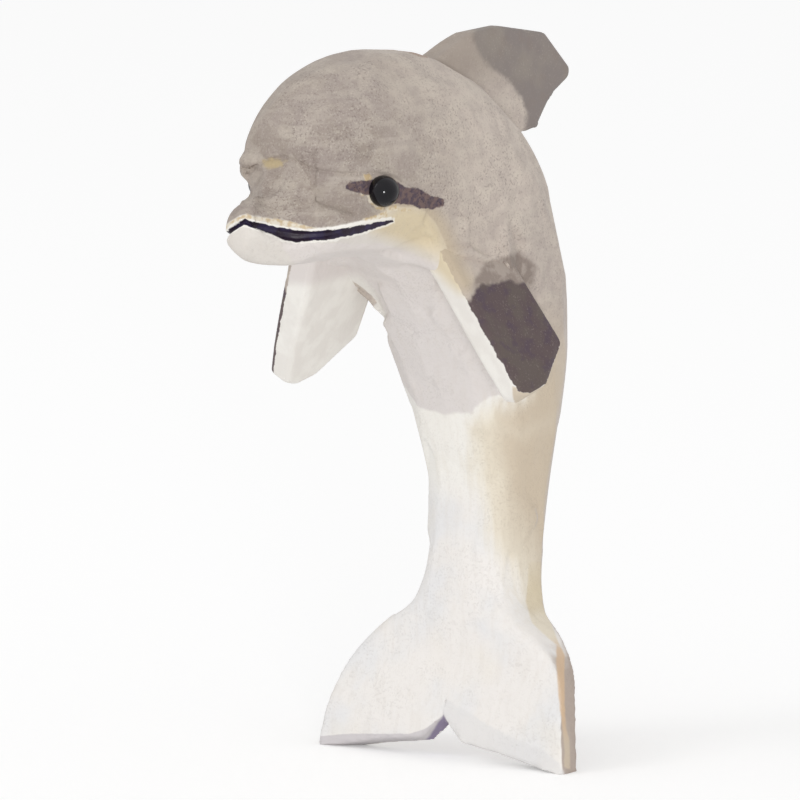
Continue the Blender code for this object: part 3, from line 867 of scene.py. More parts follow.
class KnifeFacets:
    """Geometry nodes that pare a surface into the flat facets a knife leaves."""

    SOCKETS = (
        ("Stroke Spacing", "NodeSocketFloat"), ("Cut Depth", "NodeSocketFloat"),
        ("Stand Out", "NodeSocketFloat"), ("Most Cut", "NodeSocketFloat"),
        ("Stroke Shape", "NodeSocketVector"), ("Seed", "NodeSocketInt"), ("Material", "NodeSocketMaterial"),
    )
    STROKE_VALUES = ("stroke_facing", "stroke_place")
    MOST_STROKES = 4.0e6
    FACING_SPREAD = 3.0 * MM
    STAND_OUT_SHARE = 0.5
    MOST_CUT_SHARE = 3.0

    def __init__(self) -> None:
        """Build the tree."""
        self.tree = bpy.data.node_groups.new("knife_facets", "GeometryNodeTree")
        self.keys: dict[str, str] = {}
        self.build()

    def build(self) -> None:
        """Write the tree: each vertex sinks to the plane of the nearest stroke."""
        interface = self.tree.interface
        interface.new_socket(name="Geometry", in_out="INPUT", socket_type="NodeSocketGeometry")
        for name, kind in self.SOCKETS:
            made = interface.new_socket(name=name, in_out="INPUT", socket_type=kind)
            self.keys[name] = made.identifier
        interface.new_socket(name="Geometry", in_out="OUTPUT", socket_type="NodeSocketGeometry")
        graph = Graph(self.tree)
        given = self.tree.nodes.new("NodeGroupInput").outputs
        place = graph.node("GeometryNodeInputPosition").outputs[0]
        facing = graph.node("GeometryNodeInputNormal").outputs[0]
        shaped = graph.along("MULTIPLY", place, given["Stroke Shape"]).outputs[0]
        centres, read_facing, read_place = self.strokes(graph, given, place, shaped)
        own_spread = graph.along("ADD", shaped, graph.scaled(facing, self.FACING_SPREAD)).outputs[0]
        nearest = graph.node(
            "GeometryNodeSampleNearest", {"Geometry": centres, "Sample Position": own_spread}, domain="POINT",
        ).outputs[0]
        plane_facing, plane_place = (
            graph.node(
                "GeometryNodeSampleIndex", {"Geometry": centres, "Value": value, "Index": nearest},
                data_type="FLOAT_VECTOR", domain="POINT",
            ).outputs[0]
            for value in (read_facing, read_place)
        )
        over = graph.along("SUBTRACT", place, plane_place).outputs[0]
        above = graph.along("DOT_PRODUCT", over, plane_facing).outputs["Value"]
        sunk = graph.math("MAXIMUM", graph.math("ADD", above, given["Cut Depth"]), 0.0)
        travel = graph.math("SUBTRACT", given["Stand Out"], graph.math("MINIMUM", sunk, given["Most Cut"]))
        feeds = {"Geometry": given["Geometry"], "Offset": graph.scaled(facing, travel)}
        pared = graph.node("GeometryNodeSetPosition", feeds).outputs[0]
        solid = graph.node("GeometryNodeRealizeInstances", {"Geometry": pared}).outputs[0]
        feeds = {"Geometry": solid, "Material": given["Material"]}
        dressed = graph.node("GeometryNodeSetMaterial", feeds).outputs[0]
        graph.feed(self.tree.nodes.new("NodeGroupOutput"), {"Geometry": dressed})

    def strokes(self, graph: Graph, given: dict, place: object, shaped: object) -> tuple[object, ...]:
        """Scatter the strokes, each with the plane of its cut.

        Args:
            graph: The tree's nodes.
            given: Its inputs.
            place: A point's place.
            shaped: The same, stretched as the strokes are.

        Returns:
            The strokes' centres, spread out along their facings, and their kept facings and places.
        """
        feeds = {
            "Mesh": given["Geometry"], "Distance Min": given["Stroke Spacing"],
            "Density Max": self.MOST_STROKES, "Seed": given["Seed"],
        }
        scatter = graph.node("GeometryNodeDistributePointsOnFaces", feeds, distribute_method="POISSON")
        kept = scatter.outputs["Points"]
        for name, value in zip(self.STROKE_VALUES, (scatter.outputs["Normal"], place)):
            kept = graph.node(
                "GeometryNodeStoreNamedAttribute", {"Geometry": kept, "Name": name, "Value": value},
                data_type="FLOAT_VECTOR", domain="POINT",
            ).outputs[0]
        facings, places = (
            graph.node("GeometryNodeInputNamedAttribute", {"Name": name}, data_type="FLOAT_VECTOR").outputs[0]
            for name in self.STROKE_VALUES
        )
        spread = graph.along("ADD", shaped, graph.scaled(facings, self.FACING_SPREAD)).outputs[0]
        centres = graph.node("GeometryNodeSetPosition", {"Geometry": kept, "Position": spread}).outputs[0]
        return centres, facings, places

    def pare(self, skin: Skin, spacing: float, depth: float, shape: tuple[float, ...], seed: int,
             material: bpy.types.Material) -> None:
        """Pare a skin's surface into facets.

        Args:
            skin: The mesh to work on.
            spacing: Distance between strokes, in metres.
            depth: How deep each stroke's plane lies under the surface, in metres.
            shape: How strokes are stretched, as a scale on each axis: below 1 is longer.
            seed: Which scatter of strokes.
            material: The finish that the surface takes.
        """
        modifier = skin.thing.modifiers.new("knife facets", "NODES")
        modifier.node_group = self.tree
        values = {
            "Stroke Spacing": spacing, "Cut Depth": depth, "Stroke Shape": shape, "Seed": seed,
            "Stand Out": self.STAND_OUT_SHARE * depth, "Most Cut": self.MOST_CUT_SHARE * depth,
            "Material": material,
        }
        for name, value in values.items():
            modifier[self.keys[name]] = value
        skin.apply_modifiers()


class PaintWork:
    """A painted material while it is written, with the cloud and brush patterns that it draws on."""

    SHEEN = 0.3
    RELIEF_STRENGTH = 0.8

    def __init__(self, name: str, effects: PaintEffects, coverage: float) -> None:
        """Start the material.

        Args:
            name: Its name.
            effects: The shared effects.
            coverage: How much of the paint is specked.
        """
        self.effects = effects
        self.material, self.graph, self.shader = new_material(name)
        graph = self.graph
        upright = graph.group(effects.strokes, {"Across": 850.0, "Along": 110.0, "Level": 0.0})
        level = graph.group(effects.strokes, {"Across": 700.0, "Along": 150.0, "Level": 1.0})
        self.upright = upright.outputs[0]
        self.level = level.outputs[0]
        specks = graph.group(effects.specks, {"Grain": 3000.0, "Coverage": coverage}).outputs
        self.dark_specks = specks["Dark"]
        self.pale_specks = specks["Pale"]
        self.clouds = graph.noise(90.0, 3.0)
        self.fine = graph.noise(420.0, 4.0)

    def edge(self, inside: object, raggedness: float, grain: float, softness: float) -> object:
        """Mask of the paint inside an outline.

        Args:
            inside: How far inside it lies, in millimetres: the name of a kept value, or an output.
            raggedness: How far the edge wanders, in millimetres.
            grain: How fine it wanders.
            softness: Half the width over which the paint runs out, in millimetres.

        Returns:
            The mask.
        """
        distance = self.graph.kept(inside) if isinstance(inside, str) else inside
        feeds = {"Distance": distance, "Raggedness": raggedness, "Grain": grain, "Softness": softness}
        return self.graph.group(self.effects.ragged, feeds).outputs["Mask"]

    def grey(self) -> object:
        """Write the back's grey, brushed thin and specked, which runs on over the roots of the fins.

        Returns:
            The colour.
        """
        graph = self.graph
        grey = graph.fade(graph.coordinate("Y"), -24.0 * MM, 8.0 * MM, PAINTS.grey, PAINTS.rear_grey)
        # Painted light: the grey turns lighter towards the top of the head and back, as if light from above
        # fell there.
        grey = graph.fade(graph.coordinate("Z"), 103.0 * MM, 111.0 * MM, grey, PAINTS.rear_grey, 0.3)
        grey = graph.fade(self.clouds, 0.42, 0.66, grey, PAINTS.lavender_grey, 0.4)
        dabs = graph.noise(210.0, 2.0, distortion=0.6)
        grey = graph.fade(dabs, 0.47, 0.6, grey, PAINTS.pale_grey, 0.3)
        grey = graph.fade(self.fine, 0.42, 0.6, grey, PAINTS.lavender_grey, 0.3)
        grey = graph.fade(self.level, -0.05, 0.3, grey, PAINTS.pale_grey, 0.25)
        scratch = graph.math("ABSOLUTE", graph.math("SUBTRACT", graph.noise(150.0, 1.0), 0.5))
        scratch = graph.times(graph.ramp(scratch, 0.0, 0.012, 0.12, 0.0), graph.ramp(self.fine, 0.45, 0.55))
        grey = graph.mix(scratch, grey, PAINTS.pale_speck)
        grey = graph.mix(graph.times(self.dark_specks, 0.42), grey, PAINTS.dark_speck)
        grey = graph.mix(graph.times(self.pale_specks, 0.3), grey, PAINTS.pale_speck)
        return graph.fade(graph.kept("cream_cheek"), -3.0, 0.2, grey, PAINTS.tan_grey, 0.7)

    def shoulder_grey(self) -> object:
        """Write the same grey with the pectoral fins' brown rubbed thinly over it round their roots.

        Returns:
            The colour.
        """
        graph = self.graph
        root = graph.fade(self.fine, 0.46, 0.6, PAINTS.fin_root, PAINTS.fin_root_pale)
        mask = self.edge("pectoral_mottle", 0.4, 500.0, 0.6)
        return graph.mix(graph.times(mask, 0.9), self.grey(), root)

    def finish(self, colour: object, rough: object, relief: object, depth: float) -> bpy.types.Material:
        """Join colour, roughness and brush relief to the shader.

        Args:
            colour: The paint's colour.
            rough: Its roughness.
            relief: The height of its brush marks.
            depth: How deep they are, in metres.

        Returns:
            The material.
        """
        feeds = {"Height": relief, "Distance": depth, "Strength": self.RELIEF_STRENGTH}
        bump = self.graph.node("ShaderNodeBump", feeds).outputs[0]
        feeds = {"Base Color": colour, "Roughness": rough, "Normal": bump, "Specular IOR Level": self.SHEEN}
        self.graph.feed(self.shader, feeds)
        return self.material

    def finish_fin(self, colour: object) -> bpy.types.Material:
        """Give a painted fin its specks and worn ridges, and finish it.

        Args:
            colour: The paint's colour.

        Returns:
            The material.
        """
        graph = self.graph
        colour = graph.mix(graph.times(self.pale_specks, 0.1), colour, PAINTS.pale_speck)
        worn = graph.times(graph.ramp(graph.kept("ridge"), 0.06, 0.16), graph.ramp(self.fine, 0.56, 0.66))
        colour = graph.mix(graph.times(worn, 0.45), colour, PAINTS.pale_speck)
        relief = graph.plus(self.fine, 0.9, graph.times(self.upright, 0.5))
        return self.finish(colour, graph.plus(self.fine, 0.25, 0.48), relief, 0.09 * MM)


@dataclass
class CarvedBody:
    """The body: one block of wood from beak to flukes, knife-finished and painted in two tones."""

    effects: PaintEffects
    facets: KnifeFacets
    grain: float = 0.52 * MM
    inlet_gap: float = 0.5 * MM
    broad_strokes: tuple[float, float] = (7.5 * MM, 0.36 * MM)
    fine_strokes: tuple[float, float] = (3.4 * MM, 0.05 * MM)
    stroke_seeds: tuple[int, int] = (5, 8)
    stroke_shape: tuple[float, float, float] = (1.0, 1.0, 0.6)
    groove_depth: float = 0.75
    line_reach: float = 1.4
    crisp_height: float = 20.0 * MM
    head_rise: tuple[float, float] = (48.0 * MM, 72.0 * MM)
    fin_fillets: dict[str, float] = field(default_factory=lambda: {
        "dorsal_fin": 2.6 * MM, "pectoral_fin_left": 2.8 * MM, "pectoral_fin_right": 4.0 * MM})
    dorsal_fillet_start: tuple[float, float] = (8.0 * MM, 15.0 * MM)
    blend_height: float = 0.15 * MM
    worn_rounds: int = 9
    blend_rounds: int = 10
    jowl_rounds: int = 40

    def build(self) -> bpy.types.Object:
        """Make the body and its paint.

        Returns:
            The body.
        """
        skin = Skin.of_node("body", "carved_body")
        self.close_mortises(skin)
        skin.remesh(self.grain)
        above_flukes = step_between(skin.points()[:, 2], self.crisp_height, 1.4 * self.crisp_height)
        skin.relax(self.worn_rounds, 0.08 + 0.92 * above_flukes)
        self.raise_fillets(skin)
        on_head = step_between(skin.points()[:, 2], *self.head_rise)
        self.pare(skin, 0.15 + (0.3 + 0.55 * on_head) * above_flukes)
        self.cut_lines(skin)
        self.keep_paint_edges(skin)
        skin.shade()
        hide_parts("body")
        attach(skin.thing, ROOT_BODY)
        return skin.thing

    def pare(self, skin: Skin, share: np.ndarray) -> None:
        """Pare the surface with broad strokes and then with fine ones.

        Args:
            skin: The body's mesh.
            share: How much of the paring each vertex takes.
        """
        material = self.paint()
        before = skin.points()
        for seed, (spacing, depth) in zip(self.stroke_seeds, (self.broad_strokes, self.fine_strokes)):
            self.facets.pare(skin, spacing, depth, self.stroke_shape, seed, material)
        skin.relax(1)
        after = skin.points()
        skin.move_to(before + share[:, None] * (after - before))
        self.dip_beak_root(skin)
        self.soften_jowls(skin)

    @staticmethod
    def dip_beak_root(skin: Skin) -> None:
        """Sink the surface where the beak leaves the forehead and swell the right brow above it.

        Args:
            skin: The body's mesh.
        """
        points = skin.points()
        on_right = points.copy()
        on_right[:, 0] = -np.abs(points[:, 0])
        in_front = points[:, 1] < -20.0 * MM
        gap = np.linalg.norm(PHOTO.picture_places(on_right) - np.array(BEAK_DIP_PLACE), axis=1)
        dip = BEAK_DIP_DEPTH * np.exp(-(gap / BEAK_DIP_REACH) ** 2) * in_front
        gap = np.linalg.norm(PHOTO.picture_places(points) - np.array(BROW_SWELL_PLACE), axis=1)
        away = np.linalg.norm(points - np.array(BROW_SWELL_MIDDLE), axis=1)
        swell = BROW_SWELL_HEIGHT * np.exp(-(gap / BROW_SWELL_REACH) ** 4 - (away / BROW_SWELL_SPAN) ** 4)
        skin.move_to(points + skin.normals() * (swell - dip)[:, None])

    def soften_jowls(self, skin: Skin) -> None:
        """Smooth the corner where the jaw ends at the throat."""
        gap = np.linalg.norm(skin.mirrored_places() - np.array(JOWL_PLACE), axis=1)
        skin.relax(self.jowl_rounds, np.exp(-(gap / JOWL_REACH) ** 2) * (skin.points()[:, 1] < 0.0))

    def close_mortises(self, skin: Skin) -> None:
        """Take out the walls round whatever is let into the wood and close the surface over them.

        Args:
            skin: The body's mesh.
        """
        with open_mesh(skin.mesh) as shape:
            walls: set = set()
            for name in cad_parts:
                if name == "body":
                    continue
                tree = tree_of(name, welded=False)
                for face in shape.faces:
                    if tree.find_nearest(face.calc_center_median(), self.inlet_gap)[0] is not None:
                        walls.add(face)
            bmesh.ops.delete(shape, geom=list(walls), context="FACES")
            loose = [vertex for vertex in shape.verts if not vertex.link_faces]
            bmesh.ops.delete(shape, geom=loose, context="VERTS")
            self.cover_openings(shape)
            bmesh.ops.recalc_face_normals(shape, faces=shape.faces[:])

    @staticmethod
    def cover_openings(shape: bmesh.types.BMesh) -> None:
        """Close each opening with a fan of faces round its middle.

        Args:
            shape: The body's faces, without the walls of the mortises.
        """
        waiting = {edge for edge in shape.edges if edge.is_boundary}
        while waiting:
            rim = [waiting.pop()]
            for edge in rim:
                joined = {near for end in edge.verts for near in end.link_edges} & waiting
                waiting -= joined
                rim.extend(joined)
            ends = {end for edge in rim for end in edge.verts}
            middle = shape.verts.new(sum((end.co for end in ends), Vector()) / len(ends))
            for edge in rim:
                shape.faces.new((*edge.verts, middle))

    def raise_fillets(self, skin: Skin) -> None:
        """Draw filler up against the root of each fin.

        Args:
            skin: The body's mesh.
        """
        points = skin.points()
        lift = np.zeros(len(points))
        shares = dict.fromkeys(self.fin_fillets, np.ones(len(points)))
        shares["dorsal_fin"] = step_between(points[:, 1], *self.dorsal_fillet_start)
        for name, radius in self.fin_fillets.items():
            low, high = (np.array(corner) - sign * radius for corner, sign in zip(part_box(name), (1, -1)))
            near = np.nonzero(np.all((points > low) & (points < high), axis=1))[0]
            tree = tree_of(name, welded=True)
            for index in near:
                place, facing, _, gap = tree.find_nearest(Vector(points[index]), radius)
                if place is None:
                    continue
                inside = (Vector(points[index]) - place).dot(facing) < 0
                away = 0.0 if inside else gap
                rise = radius - math.sqrt(max(radius ** 2 - (radius - away) ** 2, 0.0))
                lift[index] = max(lift[index], rise * shares[name][index])
        skin.move_to(points + skin.normals() * lift[:, None])
        skin.relax(self.blend_rounds, np.clip(lift / self.blend_height, 0.0, 1.0))

    def cut_lines(self, skin: Skin) -> None:
        """Cut the mouth, the brow lines and the slit in the notch.

        Args:
            skin: The body's mesh.
        """
        reach = self.line_reach / PHOTO.pixel
        rim = np.array(MOUTH, dtype=float)
        for _ in range(2):
            places = skin.mirrored_places()
            close = distance_to_course(places, rim, closed=True) < reach
            close |= depth_in_outline(places, MOUTH) > 0
            close |= distance_to_course(skin.seen_places(), CutLine.BROW.course) < reach
            for line in CutLine:
                close |= distance_to_course(places, line.course) < reach
            skin.refine(close)
        points = skin.points()
        places = skin.mirrored_places()
        sink = self.groove_depth * step_between(depth_in_outline(places, MOUTH), -0.18, 0.5)
        hidden = step_between(-points[:, 0] / MM, 8.0, 10.0)
        for line in CutLine:
            cut = line.cut_at(places)
            if line is CutLine.BROW:
                cut = np.maximum(hidden * cut, line.cut_at(skin.seen_places()))
            sink = np.maximum(sink, cut)
        skin.move_to(points - skin.normals() * sink[:, None] * MM)

    def keep_paint_edges(self, skin: Skin) -> None:
        """Store how far each vertex is inside each patch of paint.

        Args:
            skin: The body's mesh.
        """
        folded = skin.mirrored_places()
        points = skin.points() / MM
        seen = skin.seen_places()
        normals = skin.normals()
        skin.keep_depths(folded, {
            "grey_back": GREY_BACK, "mouth": MOUTH, "upper_lip_highlight": UPPER_LIP_HIGHLIGHT, "eye_stripe": EYE_STRIPE,
            "cream_cheek": CREAM_CHEEK, "chest": CHEST, "crown_wood": CROWN_WOOD,
        })
        flank = depth_in_outline(folded, FLANK)
        skin.keep("flank", flank - 6.0 * step_between(-points[:, 0], 1.0, 7.0))
        bare = [depth_in_outline(folded, outline) for outline in (LIP_WOOD, CORNER_WOOD, EYE_RIM)]
        skin.keep("bare_wood", np.max(bare, axis=0))
        skin.keep("brow_chip", depth_in_outline(seen, BROW_CHIP))
        on_side = (np.abs(points[:, 0]) > 11.0) & (normals[:, 0] * np.sign(points[:, 0]) > 0.4)
        skin.keep("pectoral_mottle", np.where(on_side, depth_in_outline(folded, PECTORAL_MOTTLE), OUTSIDE))
        one_sided = {
            "edge_wood": (EDGE_WOOD, 1), "near_bevel": (NEAR_BEVEL, 1), "far_hind_edge": (FAR_HIND_EDGE, -1),
            "notch_wall": (NOTCH_WALL, -1),
        }
        for name, (outline, sign) in one_sided.items():
            depth = depth_in_outline(seen, outline)
            skin.keep(name, np.where(sign * points[:, 0] > -0.8, depth, OUTSIDE))
        skin.keep("height", points[:, 2])
        skin.keep("sideways", np.abs(normals[:, 0]))
        skin.keep("rearward", normals[:, 1])
        skin.keep("far_root", step_between(points[:, 0], -7.0, -10.0))

    def paint(self) -> bpy.types.Material:
        """Write the body's paint: white below, warm grey above, cream where the wood shows through.

        Returns:
            The material.
        """
        work = PaintWork("body paint", self.effects, 0.45)
        graph = work.graph
        height = graph.kept("height")
        back = graph.times(work.edge("grey_back", 0.16, 600.0, 0.22), graph.ramp(height, 58.0, 76.0))
        colour = graph.mix(back, self.white_paint(work, height), work.shoulder_grey())
        colour = self.marks(work, height, colour)
        mouth = work.edge("mouth", 0.14, 1300.0, 0.07)
        groove = graph.fade(work.fine, 0.42, 0.6, PAINTS.mouth, PAINTS.mouth_blue)
        colour = graph.mix(mouth, colour, groove)
        rough = graph.plus(mouth, -0.2, graph.plus(work.fine, 0.25, 0.5))
        relief = graph.plus(work.level, 0.35, graph.times(work.upright, 0.35))
        relief = graph.plus(work.dark_specks, -0.4, graph.plus(work.fine, 0.9, relief))
        return work.finish(colour, rough, relief, 0.1 * MM)

    @staticmethod
    def white_paint(work: PaintWork, height: object) -> object:
        """Write the white of the jaw, chest, belly and flukes, the cream and grey it fades to, and painted
        light and shade.

        Args:
            work: The material.
            height: Height above the ground, in millimetres.

        Returns:
            The colour.
        """
        graph = work.graph
        white = graph.fade(work.clouds, 0.4, 0.65, PAINTS.white, PAINTS.cool_white)
        white = graph.fade(graph.noise(55.0, 2.0), 0.48, 0.7, white, PAINTS.warm_white, 0.6)
        white = graph.fade(height, 78.0, 83.0, white, PAINTS.jaw)
        # Painted light: between 38 and 62 mm up, the belly is painted a brighter white, as if more light fell
        # there.
        lit = graph.times(graph.ramp(height, 62.0, 54.0), graph.ramp(height, 38.0, 46.0))
        white = graph.mix(graph.times(lit, 0.8), white, PAINTS.bright_white)
        # Partly paint and partly painted shade: the chest between the fins is greyer than the belly, and it
        # turns to the throat's tone up under the jaw.
        breast_tone_and_shade = graph.fade(height, 70.0, 79.0, PAINTS.chest, PAINTS.throat)
        white = graph.mix(work.edge("chest", 0.2, 500.0, 0.3), white, breast_tone_and_shade)
        far_root = graph.times(graph.kept("far_root"), graph.ramp(height, 79.5, 77.0))
        far_root = graph.times(far_root, graph.ramp(height, 66.0, 70.0))
        white = graph.mix(far_root, white, PAINTS.far_white)
        wander = graph.plus(graph.math("SUBTRACT", work.clouds, 0.5), 7.0, graph.kept("flank"))
        wander = graph.plus(work.upright, 1.6, wander)
        above_flukes = graph.ramp(height, 17.0, 27.0)
        flank = graph.times(graph.ramp(wander, -0.8, 4.5), above_flukes)
        white = graph.mix(graph.times(flank, 0.85), white, PAINTS.cream)
        sideways = graph.kept("sideways")
        high_side = graph.times(graph.ramp(sideways, 0.6, 0.95), graph.ramp(height, 44.0, 56.0))
        deep = graph.times(graph.ramp(wander, 2.0, 10.0), above_flukes)
        deep = graph.math("MAXIMUM", deep, graph.times(high_side, flank))
        white = graph.mix(deep, white, PAINTS.tan)
        white = graph.fade(graph.kept("rearward"), 0.18, 0.45, white, PAINTS.trunk_grey, 0.85)
        side = graph.times(graph.ramp(sideways, 0.6, 0.8), graph.ramp(height, 21.0, 17.0))
        white = graph.mix(side, white, PAINTS.side_grey)
        cheek = graph.times(graph.ramp(graph.kept("cream_cheek"), -2.2, 1.2), graph.ramp(height, 79.0, 83.0))
        cheek = graph.times(cheek, graph.ramp(height, 82.0, 87.0, 0.5, 0.85))
        white = graph.mix(cheek, white, PAINTS.cheek_cream)
        by_grey = graph.times(graph.ramp(graph.kept("grey_back"), -1.6, 0.0), cheek)
        white = graph.mix(graph.times(by_grey, 0.6), white, PAINTS.tan_grey)
        white = graph.fade(work.upright, -0.1, 0.35, white, PAINTS.pale_grey, 0.1)
        return graph.mix(graph.times(work.dark_specks, 0.07), white, PAINTS.grey)

    @staticmethod
    def marks(work: PaintWork, height: object, colour: object) -> object:
        """Lay the small marks over the two tones: lips with a painted highlight, bare wood, eye stripe, and
        fluke edges with painted shade.

        Args:
            work: The material.
            height: Height above the ground, in millimetres.
            colour: The colour under them.

        Returns:
            The colour with them.
        """
        graph = work.graph
        crumbs = graph.noise(1100.0, 3.0)
        wood = graph.fade(crumbs, 0.42, 0.6, PAINTS.wood, PAINTS.cream)
        edge_wood = graph.fade(height, 4.0, 9.0, PAINTS.tan, PAINTS.orange_wood)
        edge_wood = graph.fade(height, 17.5, 20.0, edge_wood, PAINTS.cream)
        edge_wood = graph.fade(height, 22.0, 24.0, edge_wood, PAINTS.yellow_wood)
        edge_strength = graph.times(graph.ramp(height, 33.0, 26.0), 0.85)
        stripe = graph.fade(crumbs, 0.4, 0.6, PAINTS.stripe, PAINTS.stripe_brown)
        stripe = graph.mix(graph.times(work.dark_specks, 0.6), stripe, PAINTS.mouth)
        mouth_rim = graph.math("ADD", graph.kept("mouth"), 0.3)
        layers = (
            (mouth_rim, 0.22, 900.0, 0.1, 0.7, PAINTS.bright_white),
            # Painted highlight along the upper edge of the mouth groove.
            ("upper_lip_highlight", 0.12, 1000.0, 0.14, 0.85, PAINTS.bright_white),
            ("bare_wood", 0.2, 1200.0, 0.16, 0.75, wood),
            ("brow_chip", 0.34, 900.0, 0.4, 0.75, PAINTS.chip),
            ("crown_wood", 0.12, 900.0, 0.15, 0.6, PAINTS.brown_wood),
            # The bevel, far hind edge and notch wall layers below are painted shade on faces turned
            # downwards.
            ("near_bevel", 0.2, 700.0, 0.3, 0.7, PAINTS.bevel),
            ("edge_wood", 0.07, 700.0, 0.2, edge_strength, edge_wood),
            ("far_hind_edge", 0.1, 600.0, 0.12, 0.9, PAINTS.under_edge_shade),
            ("notch_wall", 0.1, 600.0, 0.25, 0.9, PAINTS.notch),
            ("eye_stripe", 0.2, 900.0, 0.14, 0.95, stripe),
        )
        for inside, raggedness, grain, softness, strength, tone in layers:
            mask = work.edge(inside, raggedness, grain, softness)
            colour = graph.mix(graph.times(mask, strength), colour, tone)
        return colour


@dataclass
class CarvedFin:
    """A fin carved from a board and let into the body."""

    node: str
    piece: str
    slot: str
    material: bpy.types.Material
    facets: KnifeFacets
    seed: int
    grain: float = 0.32 * MM
    outer: tuple[float, float, float] = (1.0, 0.0, 0.0)
    wrap: float = 0.0
    strokes: tuple[float, float] = (5.0 * MM, 0.07 * MM)
    stroke_shape: tuple[float, float, float] = (1.0, 1.0, 0.7)
    smoothing: float = 0.5

    def build(self) -> bpy.types.Object:
        """Make the fin and store what its paint needs.

        Returns:
            The fin.
        """
        skin = Skin.of_node(self.node, self.piece)
        skin.remesh(self.grain)
        skin.relax(2, self.smoothing)
        self.facets.pare(skin, *self.strokes, self.stroke_shape, self.seed, self.material)
        skin.relax(1, self.smoothing)
        if self.node == "dorsal_fin":
            self.lower_ramp_foot(skin)
        places = skin.mirrored_places()
        skin.keep_depths(places, {
            "dorsal_dark": DORSAL_DARK, "pectoral_dark": PECTORAL_DARK, "pectoral_mottle": PECTORAL_MOTTLE,
            "cream_cheek": CREAM_CHEEK,
        })
        on_left = skin.points()[:, 0] > 0.0
        skin.keep("pectoral_tip", np.where(on_left, depth_in_outline(places, PECTORAL_TIP), OUTSIDE))
        skin.keep("throat_height", np.where(on_left, 0.0, skin.points()[:, 2] / MM))
        skin.keep("outer_face", self.depth_from_outer_face(skin) - self.wrap)
        skin.keep("ridge", skin.ridges())
        skin.shade()
        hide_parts(self.node)
        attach(skin.thing, ROOT_BODY)
        return skin.thing

    @staticmethod
    def lower_ramp_foot(skin: Skin) -> None:
        """Lower the front foot of the dorsal fin's ramp.

        Args:
            skin: The dorsal fin's mesh.
        """
        points = skin.points()
        gap = np.linalg.norm(skin.mirrored_places() - np.array(RAMP_FOOT_PLACE), axis=1)
        points[:, 2] -= RAMP_FOOT_DIP * np.exp(-(gap / RAMP_FOOT_REACH) ** 2)
        skin.move_to(points)

    def depth_from_outer_face(self, skin: Skin) -> np.ndarray:
        """Measure how far each vertex lies below the plane of the fin's outer face.

        Args:
            skin: The fin's mesh.

        Returns:
            The distances, in millimetres.
        """
        points = skin.points()
        facing = skin.normals() @ np.array(Vector(self.outer).normalized())
        face = points[facing > 0.94 * facing.max()]
        middle = face.mean(axis=0)
        _, _, directions = np.linalg.svd(face - middle, full_matrices=False)
        across = directions[2] * np.sign(directions[2] @ np.array(self.outer))
        return (middle - points) @ across / MM


def paint_dorsal(effects: PaintEffects) -> bpy.types.Material:
    """Write the dorsal fin's paint: dark grey, with the body's lighter grey on its front ramp.

    Args:
        effects: The shared effects.

    Returns:
        The material.
    """
    work = PaintWork("dorsal fin paint", effects, 0.35)
    graph = work.graph
    # Painted light: the ramp's grey is darker at its top and kept lighter low down, in the hollow at the
    # fin's foot where shade falls.
    top = graph.ramp(graph.coordinate("Z"), 104.0 * MM, 112.0 * MM)
    pale = graph.mix(graph.times(top, 0.8), work.grey(), PAINTS.grey)
    dark = graph.fade(work.clouds, 0.42, 0.6, PAINTS.dorsal, PAINTS.dorsal_dark)
    dark = graph.fade(work.fine, 0.5, 0.7, dark, PAINTS.fin_root, 0.3)
    depth = graph.kept("dorsal_dark")
    rim = graph.times(graph.ramp(depth, -0.2, 0.6), graph.ramp(depth, 2.6, 0.8))
    dark = graph.mix(graph.times(rim, 0.35), dark, PAINTS.dorsal_dark)
    return work.finish_fin(graph.mix(work.edge("dorsal_dark", 0.36, 500.0, 0.55), pale, dark))


def paint_pectoral(effects: PaintEffects) -> bpy.types.Material:
    """Write a pectoral fin's paint: dark brown outside, white on its edges and inside.

    Args:
        effects: The shared effects.

    Returns:
        The material.
    """
    work = PaintWork("pectoral fin paint", effects, 0.25)
    graph = work.graph
    clouds = graph.noise(230.0, 3.0)
    white = graph.fade(clouds, 0.42, 0.62, PAINTS.far_white, PAINTS.fin_white)
    dark = graph.fade(clouds, 0.42, 0.6, PAINTS.fin_dark, PAINTS.fin_brown)
    dark = graph.fade(work.fine, 0.5, 0.66, dark, PAINTS.fin_purple, 0.6)
    outer = graph.mix(work.edge("pectoral_dark", 0.34, 700.0, 0.4), work.shoulder_grey(), dark)
    face = work.edge(graph.math("SUBTRACT", 0.55, graph.kept("outer_face")), 0.2, 1000.0, 0.08)
    throat_height = graph.kept("throat_height")
    by_cheek = graph.ramp(graph.kept("cream_cheek"), -3.2, -0.6, 0.0, 0.8)
    by_cheek = graph.times(by_cheek, graph.ramp(throat_height, 1.0, 0.5))
    white = graph.mix(by_cheek, white, PAINTS.cheek_cream)
    # Painted shade: the top of the right fin, up under the jaw, turns to the throat's greyer tone.
    white = graph.fade(throat_height, 77.0, 79.5, white, PAINTS.throat)
    tip = graph.times(work.edge("pectoral_tip", 0.1, 700.0, 0.2), graph.math("SUBTRACT", 1.0, face))
    colour = graph.mix(face, white, outer)
    return work.finish_fin(graph.mix(graph.times(tip, 0.9), colour, PAINTS.tan))


